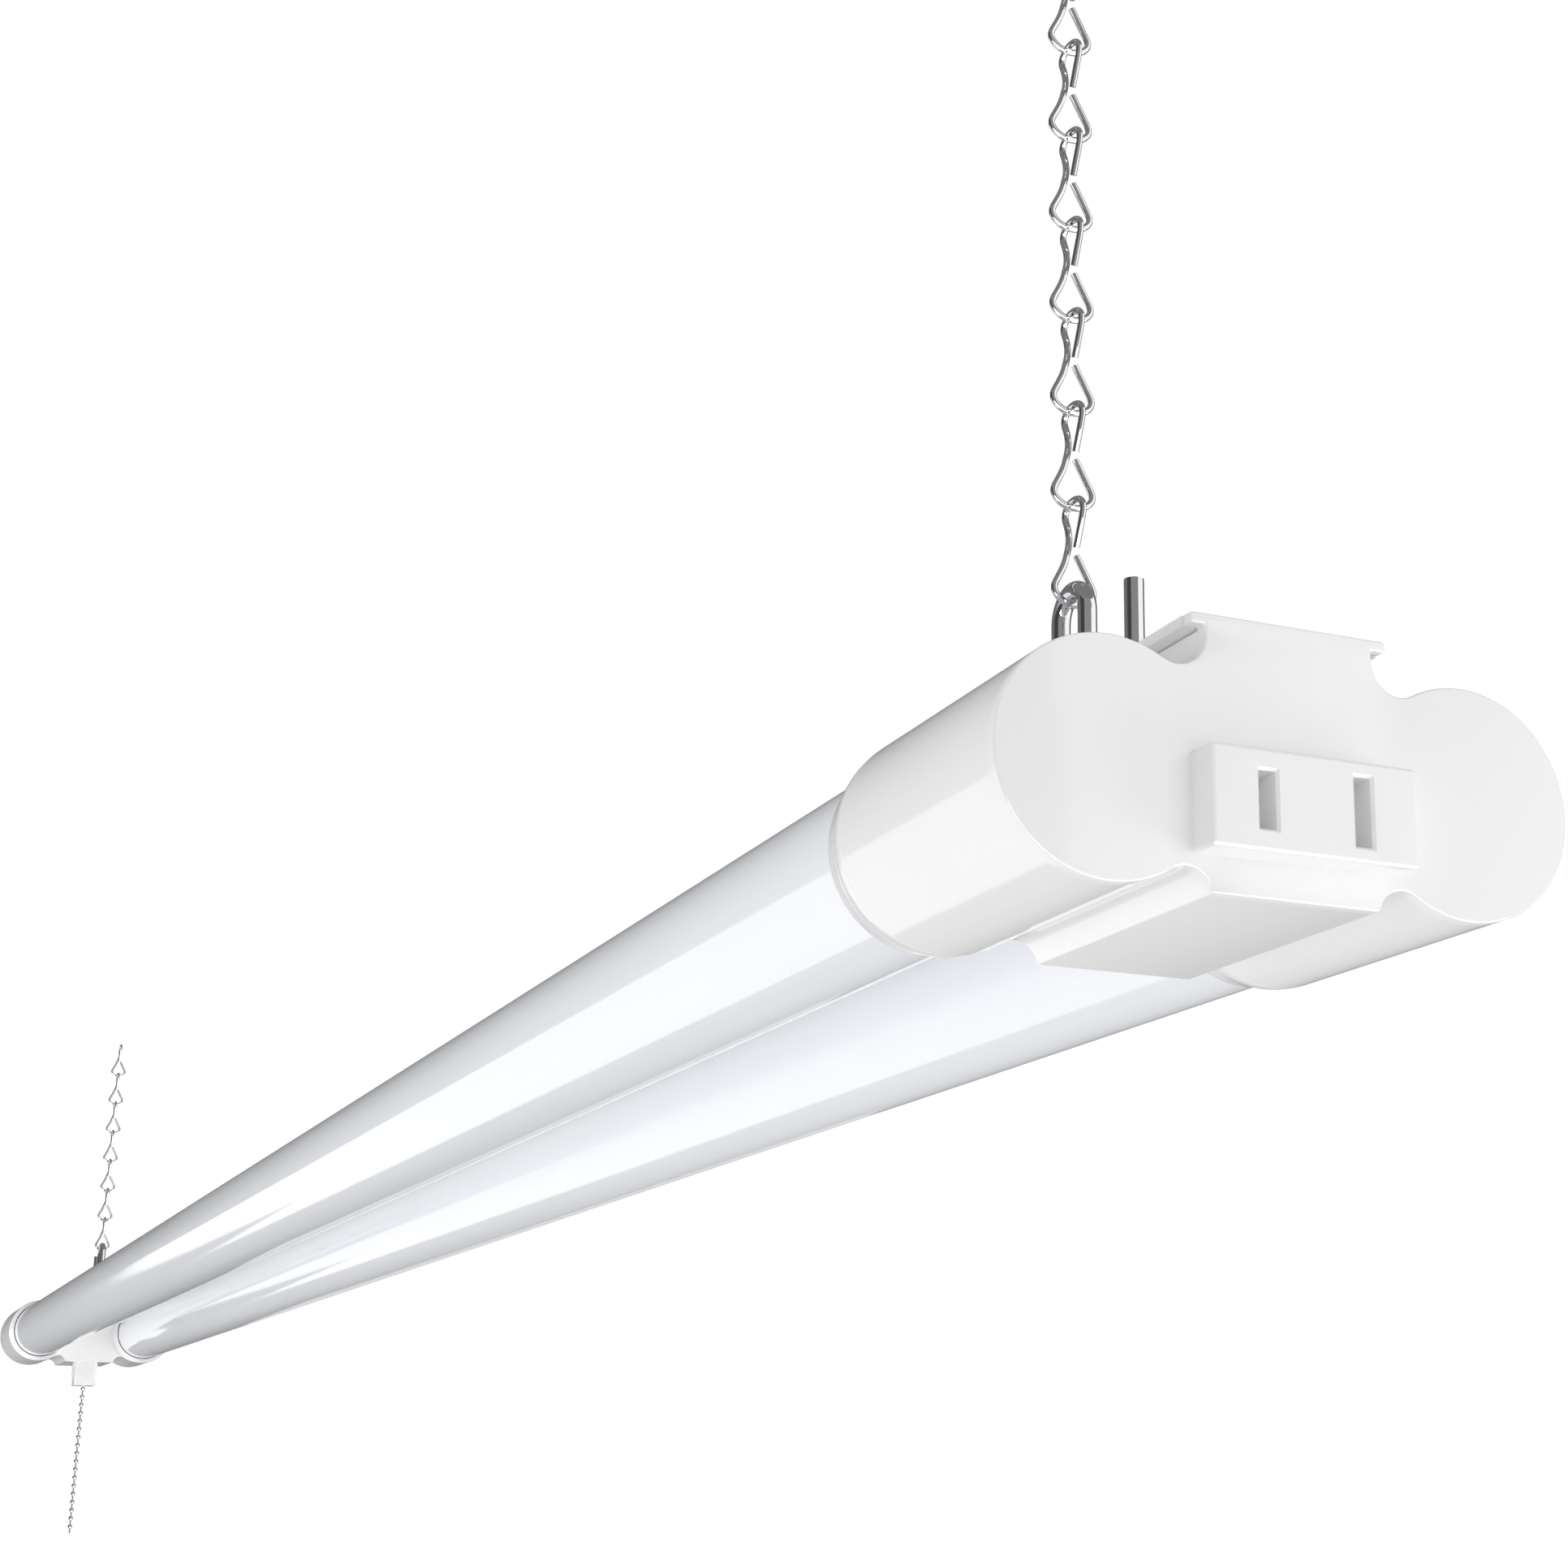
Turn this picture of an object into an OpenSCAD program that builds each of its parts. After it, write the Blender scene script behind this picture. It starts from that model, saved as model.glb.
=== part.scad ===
// Hanging double-tube shop light: a slim white rail carries two frosted LED
// tubes between two moulded end caps. Wire hooks and jack chain hold it up,
// the near cap has an outlet and the far cap a pull-chain switch.
// X runs across the tubes, Y along them, Z up. The origin is the middle of
// the rail's top face.

/* [Overall] */
// Length over both end caps
body_len = 1200; // [900:10:1500]
// Outer diameter of each frosted tube
tube_d = 26; // [24:0.5:28]
// Distance between the two tube axes
tube_pitch = 50; // [48:0.5:60]
// Depth of the tube axes below the rail's top face
axis_drop = 19.5; // [18.5:0.1:22]

/* [Rail] */
// Width of the rail's top plate
plate_w = 27.6; // [26:0.2:32]
// Thickness of the rail's top plate
plate_t = 1.4; // [1.2:0.1:2]
// Height of the rail from its top face to its lower web
rail_h = 14.2; // [13:0.1:15]
// Thickness of the rail's side walls and web
rail_wall = 1.2; // [1:0.1:1.6]

/* [End caps] */
// Length of an end cap, taper included
cap_len = 54; // [50:1:64]
// Length of the sockets' taper, past the cap's foot
taper_len = 8; // [4:0.5:10]
// Length of the steeper lip that ends the taper
lip_len = 3.6; // [1:0.1:3.8]
// Wall of the cap round a tube
cap_wall = 2; // [1.8:0.1:2.6]
// Thickness of the cap's end wall
end_wall = 2.2; // [1.8:0.1:3]
// Width of the cap's neck below the top plate
neck_w = 23.5; // [22.8:0.1:24]
// Width of the flat foot under the cap
foot_w = 23.2; // [22:0.1:23.4]
// Radius of the scoop between neck and tube lobe
scoop_r = 4; // [3.5:0.1:4.4]
// Radius of the groove between foot and tube lobe
groove_r = 3.4; // [3:0.1:3.8]
// Bevel round the cap's end face
cap_bevel = 0.5; // [0.3:0.1:0.8]
// Distance of the near cap's screws from its end face
near_screw_in = 30; // [28:0.5:31]
// Distance of the far cap's screws from its end face
far_screw_in = 15; // [14:0.5:16]

/* [Tubes] */
// Wall of a frosted tube
tube_wall = 1; // [0.8:0.1:1.4]
// Distance from a tube's end to the fixture's end face
tube_set_in = 24; // [20:1:30]
// Height of the LED strip's underside above the tube axis
strip_rise = 4; // [3:0.1:5]
// Thickness of the aluminium strip that carries the LEDs
strip_t = 1.5; // [1:0.1:1.8]
// Width of an LED board
board_w = 16; // [12:0.5:18]
// Thickness of a circuit board
board_t = 1.2; // [1:0.1:1.6]
// Spacing of the LEDs along a board
led_pitch = 15.5; // [10:0.5:30]

/* [Outlet] */
// Width of the outlet block
outlet_w = 28.6; // [26:0.2:30]
// Height of the outlet block
outlet_h = 12.5; // [12:0.1:13.5]
// How far the outlet block stands out
outlet_out = 4.8; // [3:0.1:7]
// How far the outlet's middle lies below the tube axes
outlet_drop = 4.3; // [3.5:0.1:5]
// Distance between the two blade slots
blade_pitch = 13.2; // [12.7:0.1:13.6]
// Width of a blade slot
slot_w = 2; // [1.8:0.1:2.2]
// Height of the shorter blade slot
slot_short = 6.8; // [6.5:0.1:7.2]
// Height of the longer blade slot
slot_long = 8.3; // [8:0.1:8.6]

/* [Pull switch] */
// Distance from the switch's middle to the far end face
switch_in = 30; // [29:0.5:32]
// Width of the switch across the fixture
switch_w = 10.2; // [9.8:0.1:11]
// Depth of the switch along the fixture
switch_d = 12; // [11:0.2:13]
// Height of the switch below the cap's foot
switch_h = 11.3; // [11:0.1:14]
// Height of the ribbed band at the switch's top
rib_band_h = 7; // [5:0.5:8]
// Travel of the pull
pull_travel = 5; // [3:0.5:5]
// Diameter of a bead on the pull chain
bead_d = 2.2; // [1.8:0.1:2.6]
// Spacing of the beads
bead_pitch = 4; // [3.6:0.1:5]
// Beads in each of the chain's three lengths
beads_each = 6; // [4:1:9]

/* [Hooks and chain] */
// Wire diameter of a hook
hook_wire = 2.8; // [2.4:0.1:3]
// Distance from the hook's middle leg to the fixture's end face
hook_in = 53; // [51:0.5:60]
// Width of a hook's upper eye, wire middle to wire middle
eye_w = 8.2; // [8:0.1:9]
// Width of a hook's lower bend, wire middle to wire middle
bend_w = 13.8; // [11.6:0.1:14]
// Height of a hook's eye above the rail's top face
eye_top = 24.5; // [22:0.5:30]
// Height of a hook's free leg above the rail's top face
peg_top = 19; // [16:0.5:21]
// Wire diameter of a chain link
link_wire = 1; // [0.9:0.05:1.1]
// Outer length of a chain link
link_len = 17; // [15:0.1:20]
// Outer width of a chain link's loop
link_w = 7.3; // [6.6:0.1:7.4]

/* [Hidden] */
$fn = 48;

// Clearances
fit_gap = 0.1;      // a slid-in piece in its seat
run_gap = 0.3;      // a moving piece beside a fixed one
press_gap = 0.05;   // a screw or grommet in its hole
touch_gap = 0.1;    // wire resting on wire
cut = 1;            // how far a cutting tool passes its face

// Overall
half_len = body_len/2;
tube_r = tube_d/2;
tube_x = tube_pitch/2;
axis_z = -axis_drop;
lobe_r = tube_r + cap_wall;
foot_z = axis_z - lobe_r;
neck_x = neck_w/2;
foot_x = foot_w/2;

// Rail
skin = 1.6;
rail_x = neck_x - skin - fit_gap;
rail_in_x = rail_x - rail_wall;
web_top_z = -rail_h + rail_wall;
cradle_r = tube_r + fit_gap;
cradle_low = asin((axis_drop - rail_h + rail_wall/2)/(cradle_r + rail_wall/2));
cradle_high = 62;
arm_half = half_len - cap_len - run_gap;
slot_deep = plate_t + 2*cut;
rail_half = half_len - end_wall;

// Cap
socket_r = tube_r + fit_gap;
stop_r = tube_r - tube_wall;
lip_rim = 0.4;
taper_in = cap_wall - lip_rim;
shoulder_in = taper_in/2;
taper_y = cap_len - taper_len;
inner_wall = 2;
cavity_floor_z = foot_z + cap_wall;
passage_x = rail_x + fit_gap;
post_r = 2.3;
screw_r = 1.25;
screw_head_r = 2.4;
post_x = rail_in_x - screw_head_r - run_gap;
screw_head_h = 1.4;
screw_bite = 9;
screw_past = 1;
window_w = 6;
window_h = 8;
window_in = 12;

grommet_r = 5;
grommet_bore_r = 3.2;
grommet_lip_r = 6.4;
grommet_lip_t = 1.2;
grommet_z = -rail_h - 2*run_gap - grommet_lip_r;

// Tubes
tube_half = half_len - tube_set_in;
strip_in = 2;
strip_half = tube_half - strip_in;
lead_past = 6;
strip_z = axis_z + strip_rise;
bore_r = tube_r - tube_wall;
guide_t = 0.8;
guide_in = 1.6;
strip_x = sqrt(pow(bore_r - fit_gap, 2) - pow(strip_rise + strip_t, 2));
led_size = [2.8, 3.5, 0.8];
led_count = floor((2*strip_half - led_pitch)/led_pitch);
lead_r = 0.8;

// Driver and wiring
driver_in = 220;
driver_y = half_len - driver_in;
driver_len = 180;
driver_w = 11;
liner_t = 0.5;
liner_w = 2*rail_in_x - 2*fit_gap;
liner_h = 6;
wire_r = 1;
wire_end = end_wall + 6;
wire_x = rail_in_x - wire_r - run_gap;
wire_z = web_top_z + liner_h + wire_r + run_gap;
liner_past = 5;
board_lift = 0.8;
standoff_r = 1;
standoff_in = 5;
driver_z = web_top_z + liner_t + board_lift;
part_h = 6;
can_r = 3.6;
transformer = [9, 16, part_h];
choke = [8, 10, part_h - 0.5];
film_cap = [7, 4, part_h - 1];
chip = [3, 2.5, 2];
can_at = [-70, -55, 60];
film_at = [-34, 50];
chip_at = [-29, 16, 22, 74];
choke_at = 35;
transformer_at = -4;

// Outlet
outlet_z = axis_z - outlet_drop;
outlet_body_w = 19;
outlet_body_h = 10.6;
outlet_body_in = 16;
edge_r = 0.8;
mouth = 0.5;
pocket_h = 9;
pocket_w = 4.4;
pocket_wall = 1.2;
pocket_y = -outlet_out + pocket_wall + mouth;
contact_t = 0.5;
contact_h = 6.4;
clip_y = pocket_y + 1;
clip_back_y = outlet_body_in - 1;
tag = [2, 5, 2];

// Switch
switch_y = half_len - switch_in;
switch_z = foot_z - switch_h;
rib_t = 0.35;
rib_pitch = 1.3;
rib_w = 0.7;
switch_in_w = 8.8;
switch_in_d = 10.4;
switch_in_h = 9;
switch_top_z = foot_z + switch_in_h;
well_r = 3.6;
well_floor_t = 1.4;
well_floor_z = switch_z + well_floor_t;
stem_r = 0.9;
mouth_r = stem_r + run_gap;
spring_wire = 0.5;
spring_r = 2.2;
head_r = well_r - run_gap;
head_h = 1.6;
spring_turns = 5;
rotor_h = 1.8;
rotor_r = 2.4;
cam_w = 1;
cam_deep = 0.8;
blade = [0.8, 4, 5.4];
blade_x = 3;
roof_t = 1.2;
rotor_top_z = switch_top_z - roof_t - run_gap;
head_top_z = rotor_top_z - rotor_h - run_gap;
head_bottom_z = head_top_z - head_h;
stem_out = 0.2;
bead_fn = 24;
chain_wire = 0.7;
pull_gap = 0.15;
chain_top_z = switch_z - stem_out - pull_gap;
tail_len = 3.3;
length_h = beads_each*bead_pitch;

// Hooks
hook_r = hook_wire/2;
bend_gap = 0.15;
bend_z = -plate_t - bend_gap - hook_r;
bend_r = 3;
hook_swing = 25;
hook_slot_y = bend_r + hook_r + run_gap;
hook_slot_x = 2*(-bend_z*tan(hook_swing) + hook_r/cos(hook_swing) + run_gap);
eye_z = eye_top - hook_r - eye_w/2;
eye_end_z = 1.5;
hook_y = half_len - hook_in;
eye_in_z = eye_top - hook_wire;

// Chain
link_r = link_wire/2;
loop_r = link_w/2 - link_r;
link_pitch = link_len - 2*link_wire - touch_gap;
link_axis_len = link_len - link_wire;
waist_x = 1.2*link_r;
waist_gap = 1.8*link_r;
knee_r = 1.04*link_r;
wire_fn = 24;
first_link_z = eye_in_z - touch_gap - link_r;
link_y = hook_y - eye_w/2;

// Extrudes a profile drawn in X and Z from y0 to y1
module run(y0, y1) {
  translate([0, y1, 0]) rotate([90, 0, 0]) linear_extrude(y1 - y0) children();
}

// A copy on each side of the fixture's middle
module both_sides() {
  children();
  mirror([1, 0, 0]) children();
}

// A round bar along Y
module bar_y(x, z, r, y0, y1) {
  translate([x, y0, z]) rotate([-90, 0, 0]) cylinder(h = y1 - y0, r = r);
}

// A round bar from one point to another
module bar(a, b, r, facets = $fn) {
  d = b - a;
  span = norm(d);
  tilt = acos(d[2]/span);
  turn = atan2(d[1], d[0]);
  translate(a) rotate([0, tilt, turn]) cylinder(h = span, r = r, $fn = facets);
}

// A rectangle with round corners, about its middle
module round_rect(w, h, r) {
  square([w - 2*r, h], center = true);
  square([w, h - 2*r], center = true);
  for (x = [-w/2 + r, w/2 - r], y = [-h/2 + r, h/2 - r])
    translate([x, y]) circle(r = r);
}

/* ---- rail ---- */

// Section of the rail that both caps take: the top plate and the box below it
module rail_box_profile() {
  difference() {
    union() {
      translate([-plate_w/2, -plate_t]) square([plate_w, plate_t]);
      translate([-rail_x, -rail_h]) square([2*rail_x, rail_h]);
    }
    translate([-rail_in_x, web_top_z]) square([2*rail_in_x, rail_h - rail_wall - plate_t]);
  }
}

// The curved arms that hold the tubes between the caps
module cradle_profile() {
  start = 180 - cradle_low;
  stop = 180 - cradle_high;
  root_x = tube_x + (cradle_r + rail_wall)*cos(start);
  both_sides() {
    difference() {
      translate([tube_x, axis_z]) intersection() {
        circle(r = cradle_r + rail_wall);
        polygon([[0, 0], 2*tube_r*[cos(start), sin(start)],
                 2*tube_r*[cos((start + stop)/2), sin((start + stop)/2)],
                 2*tube_r*[cos(stop), sin(stop)]]);
      }
      translate([tube_x, axis_z]) circle(r = cradle_r);
    }
    difference() {
      translate([rail_x - rail_wall, -rail_h]) square([root_x - rail_x + 2*rail_wall, rail_wall]);
      translate([tube_x, axis_z]) circle(r = cradle_r);
    }
  }
}

module base_rail() {
  color("whitesmoke")
  difference() {
    union() {
      run(-rail_half, rail_half) rail_box_profile();
      run(-arm_half, arm_half) cradle_profile();
    }
    for (side = [-1, 1], edge = [-hook_slot_y + bend_r, bend_w - bend_r])
      translate([0, side*(hook_y + edge + hook_slot_y/2), -plate_t/2])
        cube([hook_slot_x, hook_slot_y, slot_deep], center = true);
    for (x = [-post_x, post_x], y = [near_screw_in - half_len, half_len - far_screw_in])
      translate([x, y, 0]) {
        translate([0, 0, -plate_t - cut]) cylinder(h = slot_deep, r = screw_head_r + run_gap);
        translate([0, 0, -rail_h - cut]) cylinder(h = rail_wall + 2*cut, r = screw_r + fit_gap);
      }
  }
}

/* ---- end caps, drawn with the end face at Y = 0 and the cap along +Y ---- */

// Middle of a scoop of radius r that is tangent to the wall at x and to the lobe
function scoop_x(x, r) = x + r;
function scoop_z(x, r) = sqrt(pow(lobe_r + r, 2) - pow(tube_x - scoop_x(x, r), 2));

// Fill between the neck or foot and a lobe, before the scoop is cut
module web_profile(x, r) {
  cx = scoop_x(x, r);
  cz = scoop_z(x, r);
  k = lobe_r/(lobe_r + r);
  polygon([[x - skin, 0], [x - skin, cz], [cx, cz],
           [tube_x - (tube_x - cx)*k, cz*k], [tube_x, 0]]);
}

// Outline of the cap without its lobes and scoops
module cap_core_profile(top) {
  translate([-neck_x, axis_z]) square([2*neck_x, top - axis_z]);
  translate([-foot_x, foot_z]) square([2*foot_x, -foot_z + axis_z]);
  both_sides() {
    translate([0, axis_z]) web_profile(neck_x, scoop_r);
    translate([0, axis_z]) mirror([0, 1]) web_profile(foot_x, groove_r);
  }
}

// One lobe: bevel at the face, straight skirt, taper to the lip round the tube
module lobe() {
  translate([tube_x, 0, axis_z]) rotate([-90, 0, 0]) {
    cylinder(h = cap_bevel, r1 = lobe_r - cap_bevel, r2 = lobe_r);
    translate([0, 0, cap_bevel]) cylinder(h = taper_y - cap_bevel, r = lobe_r);
    translate([0, 0, taper_y]) cylinder(h = taper_len - lip_len, r1 = lobe_r, r2 = lobe_r - shoulder_in);
    translate([0, 0, cap_len - lip_len]) cylinder(h = lip_len, r1 = lobe_r - shoulder_in, r2 = lobe_r - taper_in);
  }
}

// Cutter for a scoop
module scoop_cut(x, z, r) {
  translate([x, 0, z]) rotate([-90, 0, 0]) {
    translate([0, 0, -cut]) cylinder(h = taper_y + 2*cut, r = r);
  }
}

// Side view of the core: bevelled at the face, straight to its inner end
module core_side() {
  rotate([90, 0, 90]) linear_extrude(tube_pitch, center = true)
    polygon([[cap_bevel, foot_z], [taper_y, foot_z], [taper_y, 0], [0, 0], [0, foot_z + cap_bevel]]);
}

module cap_solid() {
  difference() {
    union() {
      both_sides() lobe();
      intersection() {
        run(0, taper_y) cap_core_profile(-plate_t);
        core_side();
      }
      intersection() {
        run(0, end_wall) cap_core_profile(0);
        core_side();
      }
      run(0, end_wall) translate([-plate_w/2, -plate_t]) square([plate_w, plate_t]);
    }
    both_sides() {
      scoop_cut(scoop_x(neck_x, scoop_r), axis_z + scoop_z(neck_x, scoop_r), scoop_r);
      scoop_cut(scoop_x(foot_x, groove_r), axis_z - scoop_z(foot_x, groove_r), groove_r);
    }
  }
}

// The moulded cap: sockets, wiring space, rail passage and screw posts
module cap_shell(screw_in) {
  difference() {
    cap_solid();
    both_sides() {
      bar_y(tube_x, axis_z, socket_r, tube_set_in - run_gap, cap_len + cut);
      bar_y(tube_x, axis_z, stop_r, end_wall, cap_len);
      translate([passage_x - cut, window_in, axis_z - window_h/2])
        cube([tube_x - passage_x + cut, window_w, window_h]);
    }
    translate([-passage_x, end_wall, -rail_h]) cube([2*passage_x, cap_len, rail_h + cut]);
    difference() {
      translate([-passage_x, end_wall, cavity_floor_z])
        cube([2*passage_x, taper_y - end_wall - inner_wall, -rail_h - cavity_floor_z + cut]);
      for (x = [-post_x, post_x])
        translate([x, screw_in, foot_z]) cylinder(h = -foot_z, r = post_r);
    }
    for (x = [-post_x, post_x])
      translate([x, screw_in, -rail_h - screw_bite - screw_past])
        cylinder(h = screw_bite + screw_past + cut, r = screw_r);
  }
}

module near_end_cap() {
  color("white")
  translate([0, -half_len, 0]) difference() {
    cap_shell(near_screw_in);
    translate([0, 0, outlet_z]) run(-cut, end_wall + cut)
      square([outlet_body_w + 2*fit_gap, outlet_body_h + 2*fit_gap], center = true);
  }
}

module far_end_cap() {
  color("white")
  translate([0, half_len, 0]) rotate([0, 0, 180]) difference() {
    cap_shell(far_screw_in);
    translate([0, switch_in, foot_z + cap_wall/2])
      cube([switch_in_w + 2*fit_gap, switch_in_d + 2*fit_gap, cap_wall + 2*cut], center = true);
    bar_y(0, grommet_z, grommet_r, -cut, end_wall + cut);
  }
}

/* ---- tubes ---- */

module diffuser(side) {
  color("aliceblue")
  run(-tube_half, tube_half) translate([side*tube_x, axis_z]) {
    difference() {
      circle(r = tube_r);
      circle(r = bore_r);
    }
    for (k = [-1, 1], z = [strip_rise - guide_t - fit_gap, strip_rise + strip_t + fit_gap])
      intersection() {
        circle(r = bore_r + tube_wall/2);
        difference() {
          translate([k*bore_r, z + guide_t/2]) square([3*guide_in + bore_r/2, guide_t], center = true);
          translate([0, z]) square([2*(strip_x - guide_in), 3*guide_t], center = true);
        }
      }
  }
}

module left_diffuser() { diffuser(-1); }
module right_diffuser() { diffuser(1); }

module led_strip(side) {
  color("silver")
  translate([side*tube_x - strip_x, -strip_half, strip_z]) cube([2*strip_x, 2*strip_half, strip_t]);
}

module left_led_strip() { led_strip(-1); }
module right_led_strip() { led_strip(1); }

module led_board(side) {
  color("ivory")
  translate([side*tube_x - board_w/2, -strip_half, strip_z - board_t]) cube([board_w, 2*strip_half, board_t]);
}

module left_led_board() { led_board(-1); }
module right_led_board() { led_board(1); }

module leds(side) {
  color("khaki")
  for (i = [0:led_count - 1])
    translate([side*tube_x, (i - (led_count - 1)/2)*led_pitch, strip_z - board_t - led_size[2]/2])
      cube(led_size, center = true);
}

module left_leds() { leds(-1); }
module right_leds() { leds(1); }

// Leads from each board's far end through the cap's window to the middle
module led_leads() {
  y_in = half_len - window_in - window_w/2;
  z = strip_z - board_t - lead_r;
  color("firebrick")
  both_sides() {
    bar_y(tube_x, z, lead_r, strip_half - lead_past, y_in);
    bar([tube_x, y_in, z], [post_x + post_r + run_gap, y_in, z], lead_r);
    translate([tube_x, y_in, z]) sphere(r = lead_r);
  }
}

/* ---- driver and wiring in the rail ---- */

module driver_liner() {
  color("dimgray")
  run(driver_y - driver_len/2 - liner_past, driver_y + driver_len/2 + liner_past) difference() {
    translate([-liner_w/2, web_top_z]) square([liner_w, liner_h]);
    translate([-liner_w/2 + liner_t, web_top_z + liner_t]) square([liner_w - 2*liner_t, liner_h]);
  }
}

module driver_board() {
  color("darkgreen")
  union() {
    translate([-driver_w/2, driver_y - driver_len/2, driver_z]) cube([driver_w, driver_len, board_t]);
    for (x = [-1, 1], y = [-1, 1])
      translate([x*(driver_w/2 - 2*standoff_r), driver_y + y*(driver_len/2 - standoff_in), driver_z - board_lift])
        cylinder(h = board_lift + board_t/2, r = standoff_r);
  }
}

// A box-shaped component, its middle at y along the driver board
module component(size, y) {
  translate([-size[0]/2, driver_y + y - size[1]/2, driver_z + board_t]) cube(size);
}

module driver_parts() {
  color("goldenrod") {
    component(transformer, transformer_at);
    component(choke, choke_at);
    for (y = film_at)
      component(film_cap, y);
    for (y = chip_at)
      component(chip, y);
    for (y = can_at)
      translate([0, driver_y + y, driver_z + board_t]) cylinder(h = part_h, r = can_r);
  }
}

module feed_wires() {
  color("black")
  for (x = [-wire_x, wire_x])
    bar_y(x, wire_z, wire_r, wire_end - half_len, half_len - wire_end);
}

/* ---- outlet, drawn with the cap's face at Y = 0 and the inside along +Y ---- */

// A rectangular funnel, wide at y = 0
module funnel(w, h, grow, depth) {
  intersection() {
    translate([0, 0, -h]) linear_extrude(2*h)
      polygon([[-w/2 - grow, 0], [w/2 + grow, 0], [w/2, depth], [-w/2, depth]]);
    rotate([90, 0, 90]) linear_extrude(2*w + 4*grow, center = true)
      polygon([[0, -h/2 - grow], [0, h/2 + grow], [depth, h/2], [depth, -h/2]]);
  }
}

module blade_slot(h) {
  funnel(slot_w, h, mouth, 2*mouth);
  translate([-slot_w/2, -cut, -h/2]) cube([slot_w, outlet_out + pocket_wall + 2*cut, h]);
}

module outlet_block() {
  color("white")
  translate([0, -half_len, outlet_z]) difference() {
    union() {
      run(-outlet_out, 0) round_rect(outlet_w, outlet_h, edge_r);
      run(0, outlet_body_in) square([outlet_body_w, outlet_body_h], center = true);
    }
    translate([-blade_pitch/2, -outlet_out, 0]) blade_slot(slot_short);
    translate([blade_pitch/2, -outlet_out, 0]) blade_slot(slot_long);
    for (x = [-blade_pitch/2, blade_pitch/2])
      translate([x - pocket_w/2, pocket_y, -pocket_h/2])
        cube([pocket_w, outlet_body_in - pocket_y + cut, pocket_h]);
  }
}

// A sprung brass clip with two leaves that take a blade, and a solder tag behind
module contact_clip() {
  clip_w = pocket_w - 2*fit_gap;
  for (x = [-clip_w/2, clip_w/2 - contact_t])
    translate([x, clip_y, -contact_h/2]) cube([contact_t, clip_back_y - clip_y, contact_h]);
  translate([-clip_w/2, clip_back_y - contact_t, -contact_h/2]) cube([clip_w, contact_t, contact_h]);
  translate([-tag[0]/2, clip_back_y - contact_t, -tag[2]/2]) cube(tag);
}

module outlet_contacts() {
  color("gold")
  translate([0, -half_len, outlet_z])
    for (x = [-blade_pitch/2, blade_pitch/2])
      translate([x, 0, 0]) contact_clip();
}

module cap_screws() {
  color("gray")
  for (x = [-post_x, post_x], y = [near_screw_in - half_len, half_len - far_screw_in])
    translate([x, y, web_top_z]) {
      cylinder(h = screw_head_h, r = screw_head_r);
      translate([0, 0, -rail_wall - screw_bite]) cylinder(h = rail_wall + screw_bite, r = screw_r - press_gap);
    }
}

// Rubber grommet that lines the supply cord's hole in the far end wall
module cord_grommet() {
  color("dimgray")
  translate([0, half_len + grommet_lip_t, grommet_z]) rotate([90, 0, 0]) difference() {
    union() {
      cylinder(h = grommet_lip_t, r = grommet_lip_r);
      cylinder(h = end_wall + 2*grommet_lip_t, r = grommet_r - press_gap);
      translate([0, 0, end_wall + grommet_lip_t]) cylinder(h = grommet_lip_t, r = grommet_lip_r);
    }
    translate([0, 0, -cut]) cylinder(h = end_wall + 2*grommet_lip_t + 2*cut, r = grommet_bore_r);
  }
}

/* ---- pull switch ---- */

// The ribs that run round the upper band of the switch
module switch_ribs() {
  rib_z = foot_z - rib_band_h;
  nx = floor((switch_w/2 - rib_w)/rib_pitch);
  ny = floor((switch_d/2 - rib_w)/rib_pitch);
  for (i = [-nx:nx])
    translate([i*rib_pitch - rib_w/2, -switch_d/2 - rib_t, rib_z]) cube([rib_w, switch_d + 2*rib_t, rib_band_h]);
  for (i = [-ny:ny])
    translate([-switch_w/2 - rib_t, i*rib_pitch - rib_w/2, rib_z]) cube([switch_w + 2*rib_t, rib_w, rib_band_h]);
}

module switch_housing() {
  color("white")
  translate([0, switch_y, 0]) difference() {
    union() {
      translate([0, 0, switch_z]) linear_extrude(switch_h) round_rect(switch_w, switch_d, edge_r);
      switch_ribs();
      translate([-switch_in_w/2, -switch_in_d/2, foot_z - edge_r]) cube([switch_in_w, switch_in_d, switch_in_h + edge_r]);
    }
    translate([0, 0, well_floor_z]) cylinder(h = switch_top_z - roof_t - well_floor_z, r = well_r);
    translate([0, 0, switch_z - cut]) cylinder(h = switch_h, r = mouth_r);
    for (x = [-1, 1])
      translate([x*blade_x, 0, switch_top_z - roof_t/2])
        cube([blade[0] + 2*press_gap, blade[1] + 2*press_gap, roof_t + 2*cut], center = true);
  }
}

module switch_contacts() {
  color("gold")
  translate([0, switch_y, 0])
    for (x = [-1, 1])
      translate([x*blade_x, 0, rotor_top_z + run_gap + blade[2]/2]) cube(blade, center = true);
}

module contact_rotor() {
  color("peru")
  translate([0, switch_y, rotor_top_z - rotor_h]) difference() {
    cylinder(h = rotor_h, r = rotor_r);
    for (a = [0, 90])
      rotate([0, 0, a]) translate([-cam_w/2, -well_r, rotor_h - cam_deep]) cube([cam_w, 2*well_r, cam_deep + cut]);
  }
}

module pull_slider() {
  color("gainsboro")
  translate([0, switch_y, 0]) union() {
    translate([0, 0, head_bottom_z]) cylinder(h = head_h, r = head_r);
    translate([0, 0, switch_z - stem_out]) cylinder(h = head_bottom_z - switch_z + stem_out + head_h/2, r = stem_r);
  }
}

// A closed coil swept through its own turns
function coil_point(r, t, low, high) = [r*cos(360*t), r*sin(360*t), low + (high - low)*t/spring_turns];
function coil_ring(t, low, high) = [for (a = [0:60:300])
  let (r = spring_r + spring_wire/2*cos(a))
  coil_point(r, t, low, high) + [0, 0, spring_wire/2*sin(a)]];

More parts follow.
